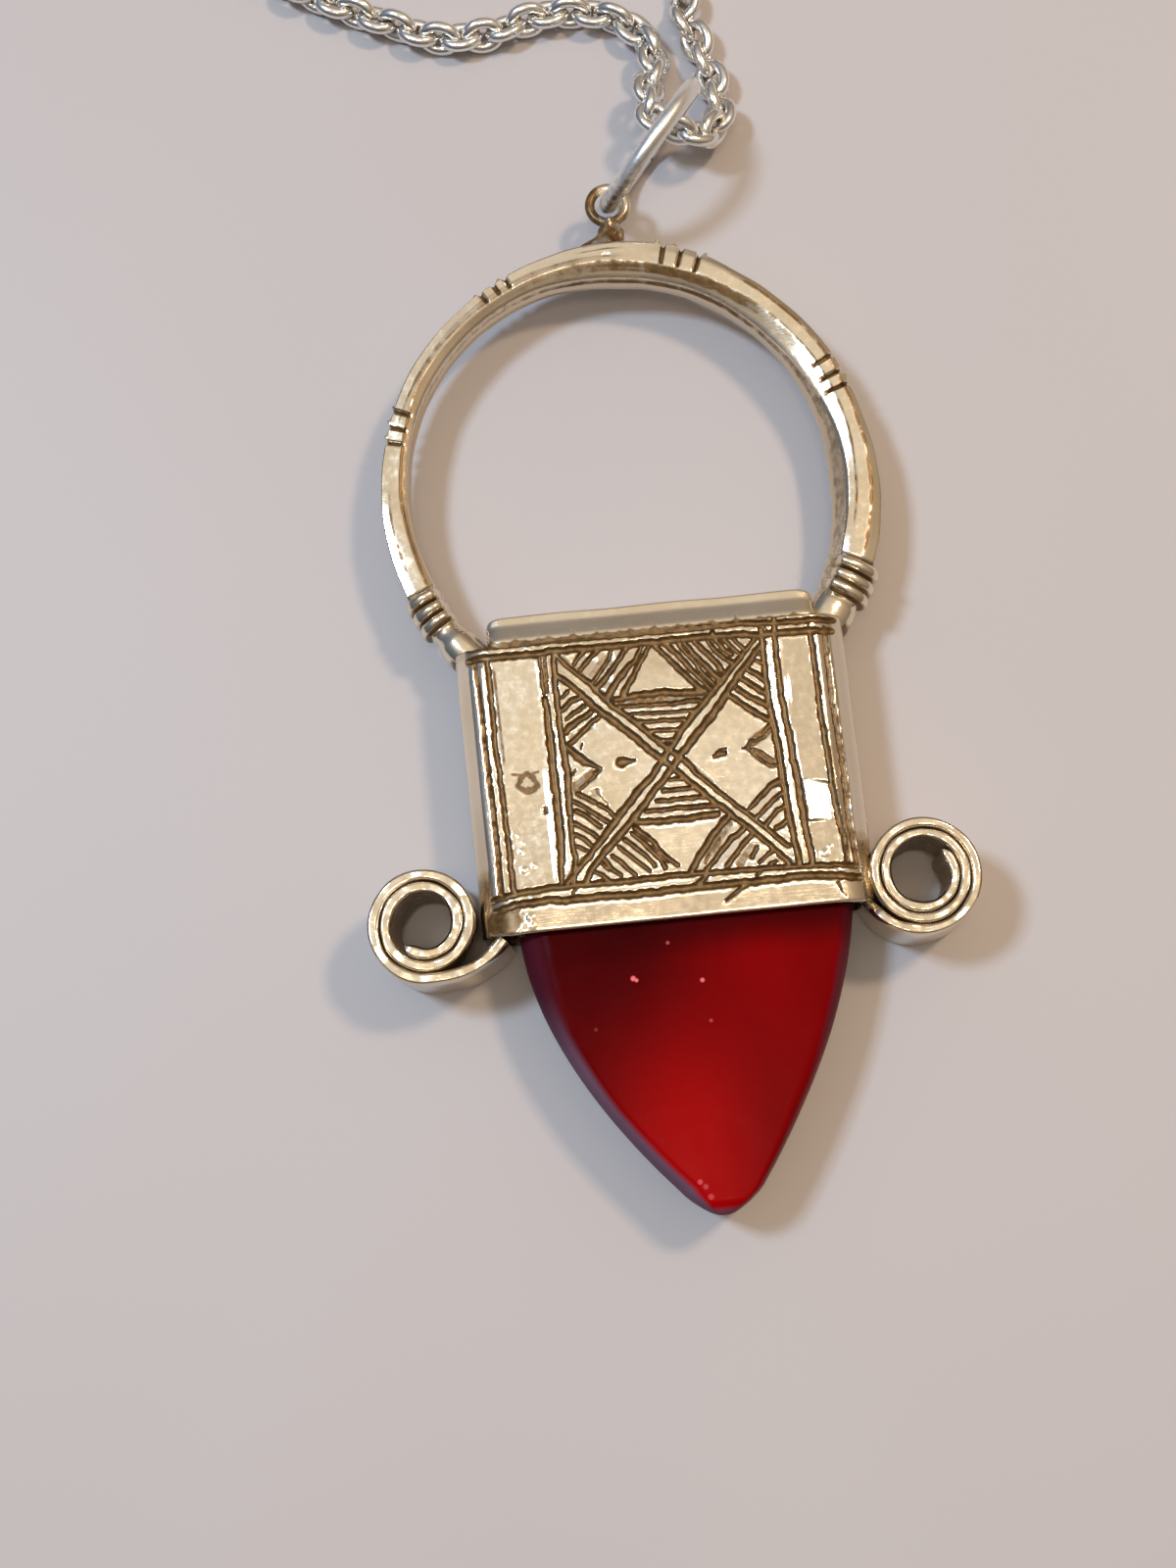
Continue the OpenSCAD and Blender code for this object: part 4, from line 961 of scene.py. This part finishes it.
# A ring of wire, darker at its foot, and darker on its left as painted shade.
def makeEyelet(look):
    cx, cy, cz = look["centre"]
    ring = ringGrid(look["centre"], look["radius"], look["wire"], 72, 20)
    low = softStep(cy - ring[:, :, 1], -0.4, 0.9)
    # painted shade: the left side is darkened
    left = softStep(cx - ring[:, :, 0], 0.1, 0.7)
    patinaAndShade = np.maximum(0.12 + 0.5 * low, 0.85 * left)
    return surface("eyelet", ring, {"patinaAndShade": patinaAndShade, "toneAndShade": 0.4}, sharp=60, joinRows=True)


# The foot is a wide lump: a section that swells from the wire down to the hoop and leans to the left,
# uneven as solder is.
def makeSolder(look):
    cx, cy, cz = look["centre"]
    t = np.linspace(0, 1, 40)[:, None]
    a = np.linspace(0, 2 * np.pi, 48, endpoint=False)[None, :]
    y = look["footTop"] + (look["footY"] - look["footTop"]) * t + 0.05 * np.sin(4 * a + 2) * t
    lumps = 0.07 * np.sin(3 * a + 6 * t) * t + 0.05 * np.sin(5 * a - 9 * t) + 0.03 * np.sin(9 * a + 14 * t)
    r = 0.38 + 0.30 * t + 0.75 * t ** 4 + lumps
    x = cx - 0.55 * softStep(t, 0.3, 0.75) + (1.05 + 0.75 * t) * r * np.cos(a)
    grid = np.stack([x, y, cz + 0.9 * r * np.sin(a)], -1)
    patinaAndShade = 0.62 + 0.22 * np.sin(4 * a + 7 * t) * t + 0.2 * t + 0.12 * np.sin(11 * t + 2 * a)
    return surface("eyelet_solder", grid, {"patinaAndShade": patinaAndShade, "toneAndShade": 1.0}, sharp=60)


finishPiece(makeEyelet(eyelet), "setting", engravedSilver)
finishPiece(makeSolder(eyelet), "setting", engravedSilver)


# The stone: a glass point with a softened edge, wider on the left than on the right
stone = {
    # its outline: height, left side, right side
    "outline": [
        (-21.45, -0.1, 2), (-20.2, -1.15, 2.85), (-19, -2.2, 3.68), (-17, -3.76, 4.92), (-15, -5.1, 6.03),
        (-13, -6.2, 6.98), (-11, -7.06, 7.74), (-9, -7.64, 8.33), (-7, -7.95, 8.72),
    ],
    "tip": -21.45, "shoulder": -7.05, "midZ": 3.0, "half": 2.3,
    # the tang in the case: its heights, and its middle, half width and half thickness
    "tangY": [-7.0, -6.9, 0, 6.7], "tang": (0.3, 7.95, 2.25),
    # width of the softened edge at each height, on the left and on the right
    "softLeft": [(-21.45, 0.6), (-20, 1.15), (-18, 1.1), (-16, 1.0), (-12, 1.15), (-9, 1.6), (-7, 1.7)],
    "softRight": [(-21.45, 0.3), (-20, 0.4), (-16, 0.6), (-12, 0.75), (-9, 0.85), (-7, 0.9)],
}


# At each height the section has a rounded edge on each side, as high as the stone is thick, and flats
# between them: x = side - soft * (1 - cos w), z = half thickness * (1/4 + 3/4 (sin w)^0.85).
def makeStone(look):
    tip = look["tip"]
    t = np.linspace(0, 1, 120)[1:]
    y = tip + (look["shoulder"] - tip) * (0.45 * t ** 2 + 0.55 * t ** 1.2)
    heights, leftX, rightX = np.array(look["outline"], float).T
    xl = smoothTable(y, heights, leftX)
    xr = smoothTable(y, heights, rightX)
    # close to the tip the outline is a circle's end
    near = np.clip((y - tip) / 1.3, 0, 1)
    mid = (xl + xr) / 2 - 0.12 * (1 - near)
    half = (xr - xl) / 2 * roundEnd(near) ** 0.85
    high = look["half"] * (0.55 + 0.45 * roundEnd((y - tip) / 0.8))
    # the tang runs up into the case
    y = np.append(y, look["tangY"])
    mid, half, high = (np.append(v, [last] * 4) for v, last in zip((mid, half, high), look["tang"]))
    softL = np.minimum(np.interp(y, *np.array(look["softLeft"]).T), 0.6 * half)
    softR = np.minimum(np.interp(y, *np.array(look["softRight"]).T), 0.4 * half)
    y, mid, half, high, softL, softR = (v[:, None] for v in (y, mid, half, high, softL, softR))
    w = np.radians(np.linspace(0, 90, 12))
    inX = 1 - np.cos(w)
    edge = high * (0.25 + 0.75 * np.sin(w) ** 0.85)
    right = mid + half - softR * inX
    left = mid - half + softL * inX
    flat = np.linspace(-1, 1, 33)[1:-1]
    middle = mid + (softL - softR) / 2
    reach = half - (softL + softR) / 2
    top = high * (1 + 0.012 * (1 - flat * flat))
    x = np.hstack([right, middle - flat * reach, left[:, ::-1],
                   left[:, 1:], middle + flat * reach, right[:, :0:-1]])
    z = np.hstack([edge, top, edge[:, ::-1], -edge[:, 1:], 0 * top - high, -edge[:, :0:-1]])
    bevel = softStep(np.degrees(w), 82, 56)
    ground = np.concatenate([bevel, 0 * flat, bevel[::-1], bevel[1:], 0 * flat, bevel[:0:-1]])
    grid = np.stack([x, y + 0 * x, look["midZ"] + z], -1)
    # the bevel is rough on the left and at the tip, nearly polished on the right
    polished = 0.8 * softStep(x, 0.8, 2.4) * softStep(-y, 12.5, 15.0)
    ground = ground * (1 - 0.35 * softStep(x, 2, 6)) * (1 - polished)
    ground = np.maximum(ground, 0.7 * softStep(y - tip, 0.5, 0.15))
    # painted reflection: the ground bevel turns mauve at the lower left, and a little on the right
    reflectedMauve = softStep(-y, 9.5, 14.5) * softStep(x, 3.0, 0.5) + 0.18 * softStep(x, 2, 5) * softStep(-y, 8, 10)
    # painted light and shade: dark at the upper left and under the case, bright down the middle and at the
    # upper right
    down = softStep(-y, 8.0, 18.0)
    upper = 0.04 + 0.52 * softStep(x, -3.5, 5.0) - 0.16 * softStep(x, 4.0, 7.0)
    lower = 0.40 + 0.50 * bump(x, -0.5, 4.6)
    paintedLightAndShade = ((1 - down) * upper + down * lower) * (0.12 + 0.88 * softStep(-y, 7.3, 9.3))
    return surface("stone_point", grid, {"ground": ground, "reflectedMauve": reflectedMauve, "paintedLightAndShade": paintedLightAndShade}, sharp=60)


finishPiece(makeStone(stone), "stone", redGlass)


# The jump ring, bent shut, with the fine slit of its joint
jumpRing = {
    "centre": (2.65, 33.73, 4.1), "radius": 3.69, "wire": 0.96, "turn": -40.3, "lean": 104.6,
    "slit": 12, "rows": 180, "cols": 32, "eyeletY": 31.9,
}


# A ring of wire. Angle a runs round the ring and b round the wire, in degrees; the wire's radius is
# 1 - flats - slit + a slow wave of its full size.
def makeJumpRing(look):
    lean = Matrix.Rotation(np.radians(look["lean"]), 3, "Y")
    turn = np.array(Matrix.Rotation(np.radians(look["turn"]), 3, "Z") @ lean)
    rows = look["rows"]
    cols = look["cols"]
    grid = ringGrid(look["centre"], look["radius"], look["wire"], rows, cols, turn[:, 0], turn[:, 1])
    a = np.arange(rows)[:, None] * 360 / rows
    b = (np.arange(cols)[None, :] * 360 / cols + 180) % 360 - 180
    # worn flat on the two sides that are seen, with a dark line of painted shade where the flats meet
    flats = 0.07 * bump(b, -52, 50) + 0.05 * bump(b, 42, 46)
    size = 1 - flats - 0.14 * bump(a, look["slit"], 2.4) + 0.012 * np.sin(np.radians(5 * a))
    wire = grid.mean(axis=1, keepdims=True)
    grid = wire + (grid - wire) * size[:, :, None]
    line = 0.62 * bump(b, 0.12 * (215 - a) + 4, 15)
    # brown where it hangs in the eyelet
    low = softStep(look["eyeletY"] - grid[:, :, 1], 0, 1.4)
    patinaAndShade = largest(0.7 * bump(a, look["slit"], 3.2), line * bump(a, 214, 30),
                     (0.45 + 0.25 * bump(b, 15, 30)) * low)
    # painted shade: one side of the wire is duller
    toneAndShade = 0.55 * softBand(b, -10, 15, 120, 150)
    return surface("jump_ring_wire", grid, {"patinaAndShade": patinaAndShade, "toneAndShade": toneAndShade}, sharp=60, joinRows=True)


finishPiece(makeJumpRing(jumpRing), "jump_ring", wornSilver)


# The chain: oval links laid on the route, each turned a quarter turn from the last
chain = {
    "farLeft": [(0.6, 204.8, 0), (-12, 203, 0), (-30, 194, 0), (-45, 178, 0), (-54, 156, 0), (-57, 132, 0),
                (-54, 108, 0), (-46, 86, 0), (-34, 66, 0), (-20, 50, 0), (-10, 43.6, 0)],
    "near": [(-6.0, 42.7, 0), (-3.0, 43.3, 0), (-0.6, 43.4, 0), (1.6, 42.8, 0), (3.0, 41.3, 0.1),
             (3.4, 39.5, 0.6), (2.9, 37.6, 1.6), (2.8, 36.1, 2.3), (4.0, 35.0, 2.3), (5.5, 34.8, 1.7),
             (6.5, 35.8, 0.9), (6.6, 37.5, 0.3), (6.3, 39.3, 0)],
    "farRight": [(5.8, 41.2, 0), (5.4, 43.2, 0), (8.5, 50, 0), (19, 66, 0), (34, 82, 0), (48, 100, 0),
                 (58, 120, 0), (61, 142, 0), (56, 164, 0), (44, 184, 0), (28, 198, 0), (9.5, 205, 0)],
    "steps": 40, "long": 2.44, "wide": 2.02, "wire": 0.63, "pitch": 1.22, "lift": 0.91,
    # how each link lies: its turn in degrees, how far that varies, how far it strays (mm)
    "turn": 28, "turnVaries": 9, "strays": 0.05, "seed": 5,
    # rows and columns of a link near the pendant, and far from it
    "finely": (36, 14), "plainly": (16, 6),
}


# A link's middle line is an oval in the plane of the route's direction and a side direction that is
# turned one way, then the other: place + oval + wire * (cos b * outward in that plane + sin b * normal).
def linkGrids(centres, ahead, turns, look, rows, cols):
    across = unit(np.cross(ahead, [0.0, 0.0, 1.0]))
    above = np.cross(across, ahead)
    sideways = np.cos(turns)[:, None] * across + np.sin(turns)[:, None] * above
    normal = np.cross(ahead, sideways)
    a = np.linspace(0, 2 * np.pi, rows, endpoint=False)[:, None]
    b = np.linspace(0, 2 * np.pi, cols, endpoint=False)[None, :]
    r = look["wire"] / 2
    halfL = look["long"] / 2 - r
    halfW = look["wide"] / 2 - r
    size = np.hypot(halfL * np.sin(a), halfW * np.cos(a))
    x = halfL * np.sign(np.cos(a)) * np.abs(np.cos(a)) ** 0.9 + r * np.cos(b) * halfW * np.cos(a) / size
    y = halfW * np.sin(a) + r * np.cos(b) * halfL * np.sin(a) / size
    z = r * np.sin(b) + 0 * a
    parts = zip((x, y, z), (ahead, sideways, normal))
    grid = centres[:, None, None] + sum(v[None, :, :, None] * way[:, None, None] for v, way in parts)
    # tarnish inside the link, where the next one rubs
    inside = np.clip(-np.cos(b), 0, 1) * (0.55 + 0.25 * np.abs(np.cos(a)))
    return grid, np.broadcast_to(inside, grid.shape[:3])


# Many links in one mesh: each link's quads are the first one's, moved on by its number of points.
def putLinks(name, grids, inside):
    links, rows, cols = grids.shape[:3]
    quads = gridQuads(rows, cols, True) + (np.arange(links) * rows * cols)[:, None, None]
    points = grids.reshape(-1, 3)
    return putMesh(name, points, quads.reshape(-1, 4), noTris, {"patinaAndShade": inside.ravel()}, sharp=80)


# Link k stands at distance (k + 1/2) * pitch along the route, with the pitch fitted to its length.
def makeChain(look):
    steps = look["steps"]
    route = smoothRoute(look["farLeft"] + look["near"] + look["farRight"], steps)
    along = lengthAlong(route)
    count = int(along[-1] / look["pitch"])
    s = (np.arange(count) + 0.5) * along[-1] / count
    ahead = unit(pointsAt(route, s + 0.35) - pointsAt(route, s - 0.35))
    rng = np.random.default_rng(look["seed"])
    varied = rng.uniform(-look["turnVaries"], look["turnVaries"], count)
    turns = np.radians(look["turn"] + 90 * (np.arange(count) % 2) + varied)
    centres = pointsAt(route, s) + [0, 0, look["lift"]]
    centres[:, :2] += rng.uniform(-look["strays"], look["strays"], (count, 2))
    # the near stretch starts a step and a half before its first point, and ends one after its last
    nearStart = along[int((len(look["farLeft"]) - 1.5) * steps)]
    nearEnd = along[(len(look["farLeft"]) + len(look["near"]) + 1) * steps]
    strands = (("chain_near", (s > nearStart) & (s < nearEnd), look["finely"]),
               ("chain_left", s <= nearStart, look["plainly"]),
               ("chain_right", s >= nearEnd, look["plainly"]))
    print("chain:", count, "links over", round(along[-1], 1), "mm")
    return [putLinks(name, *linkGrids(centres[part], ahead[part], turns[part], look, *grid))
            for name, part, grid in strands]


for strand in makeChain(chain):
    finishPiece(strand, "chain", chainSilver)


# The clasp: a plain spring ring with its eye
clasp = {
    "centre": (6.0, 205.0, 0.65), "radius": 2.35, "wire": 1.3,
    "eye": (2.15, 205.0, 0.65), "eyeRadius": 0.9, "eyeWire": 0.6, "gateEnds": (60, 120),
}


# A ring of wire with a fine groove at each end of its gate, and a plain ring for its eye.
def makeClasp(look):
    rows = 96
    ring = ringGrid(look["centre"], look["radius"], look["wire"], rows, 24)
    a = np.arange(rows)[:, None] * 360 / rows
    middle = ring.mean(axis=1, keepdims=True)
    groove = sum(bump(a, at, 4) for at in look["gateEnds"])
    stain = sum(bump(a, at, 5) for at in look["gateEnds"])
    ring = middle + (ring - middle) * (1 - 0.1 * groove)[:, :, None]
    eye = ringGrid(look["eye"], look["eyeRadius"], look["eyeWire"], 48, 16)
    return (surface("clasp_ring", ring, {"patinaAndShade": 0.5 * stain}, sharp=60, joinRows=True),
            surface("clasp_eye", eye, {"patinaAndShade": 0.25}, sharp=60, joinRows=True))


for part in makeClasp(clasp):
    finishPiece(part, "clasp", chainSilver)


# Floor, light and camera
studio = {
    # the floor: its side (m), roughness and two colours
    "floor": 1.6, "floorRough": 0.55, "floorClouds": 14,
    "floorDark": (0.431, 0.398, 0.396), "floorLight": (0.455, 0.419, 0.414),
    "cameraAt": (-0.08, -19.71, 120.11), "lens": 54.0,
    "cameraRight": (0.99436, -0.09458, -0.04801), "cameraUp": (0.10133, 0.98087, 0.16621),
    # name, place (m), size (m), watts, colour; all of them are aimed at the middle
    "lights": [
        ("lampRight", (0.205, 0.12, 0.40), 0.05, 0.88, (1.0, 0.75, 0.51)),
        ("windowLeft", (-0.18, 0.09, 0.40), 0.06, 1.25, (0.58, 0.77, 1.0)),
        ("lampAbove", (0.0, -0.05, 0.45), 0.08, 0.22, (1.0, 0.84, 0.66)),
    ],
    # the room: its colour on the left, on the right and straight above, and how dark it is low down
    "roomLeft": (0.30, 0.35, 0.46), "roomRight": (0.76, 0.60, 0.43), "roomAbove": (1.0, 0.88, 0.71),
    "roomLow": 0.42, "roomNear": 0.5, "roomStrength": 0.77,
}


# A flat square at height 0.
def makeFloor(look):
    half = look["floor"] / 2
    mesh = bpy.data.meshes.new("floor")
    corners = [(-half, -half, 0), (half, -half, 0), (half, half, 0), (-half, half, 0)]
    mesh.from_pydata(corners, [], [(0, 1, 2, 3)])
    floor = bpy.data.objects.new("floor", mesh)
    bpy.context.scene.collection.objects.link(floor)
    material, tree, shader = newMaterial("paleFloor")
    clouds = spread(tree, noiseAt(tree, objectCoords(tree), look["floorClouds"]))
    colour = mixColour(tree, clouds, look["floorDark"], look["floorLight"])
    tree.links.new(colour, shader.inputs["Base Color"])
    shader.inputs["Roughness"].default_value = look["floorRough"]
    mesh.materials.append(material)


# A square lamp that faces the middle.
def addAreaLight(name, place, size, watts, colour):
    data = bpy.data.lights.new(name, "AREA")
    data.energy = watts
    data.size = size
    data.color = colour
    light = bpy.data.objects.new(name, data)
    bpy.context.scene.collection.objects.link(light)
    light.location = place
    light.rotation_euler = (-Vector(place)).to_track_quat("-Z", "Y").to_euler()


# The room's colour goes from left to right and up to the ceiling; it is darker low down and on the
# near side: strength = low * near * roomStrength.
def makeRoom(look):
    world = bpy.data.worlds.new("studioWorld")
    world.use_nodes = True
    tree = world.node_tree
    background = tree.nodes["Background"]
    way = {"Vector": addNode(tree, "TexCoord", "Generated", {})}
    x, y, z = (addNode(tree, "SeparateXYZ", axis, way) for axis in "XYZ")
    sides = mixColour(tree, mapRange(tree, x, -0.7, 0.7), look["roomLeft"], look["roomRight"])
    room = mixColour(tree, mapRange(tree, z, 0.6, 0.97), sides, look["roomAbove"])
    tree.links.new(room, background.inputs["Color"])
    low = mapRange(tree, z, 0.0, 0.8, look["roomLow"], 1.0)
    near = mapRange(tree, y, -0.8, -0.1, look["roomNear"], 1.0)
    strength = mathOf(tree, "MULTIPLY", mathOf(tree, "MULTIPLY", low, near), look["roomStrength"])
    tree.links.new(strength, background.inputs["Strength"])
    bpy.context.scene.world = world


# The camera looks along minus (right x up).
def makeCamera(look):
    data = bpy.data.cameras.new("camera")
    data.lens = look["lens"]
    data.sensor_width = 36.0
    data.clip_start = 0.005
    data.clip_end = 10.0
    camera = bpy.data.objects.new("camera", data)
    bpy.context.scene.collection.objects.link(camera)
    right = Vector(look["cameraRight"]).normalized()
    up = Vector(look["cameraUp"]).normalized()
    turn = Matrix((right, up, right.cross(up).normalized())).transposed().to_4x4()
    camera.matrix_world = Matrix.Translation(Vector(look["cameraAt"]) * mm) @ turn
    bpy.context.scene.camera = camera


makeFloor(studio)
for lamp in studio["lights"]:
    addAreaLight(*lamp)
makeRoom(studio)
makeCamera(studio)
bpy.context.scene.view_settings.view_transform = "Standard"
print("studio ready")
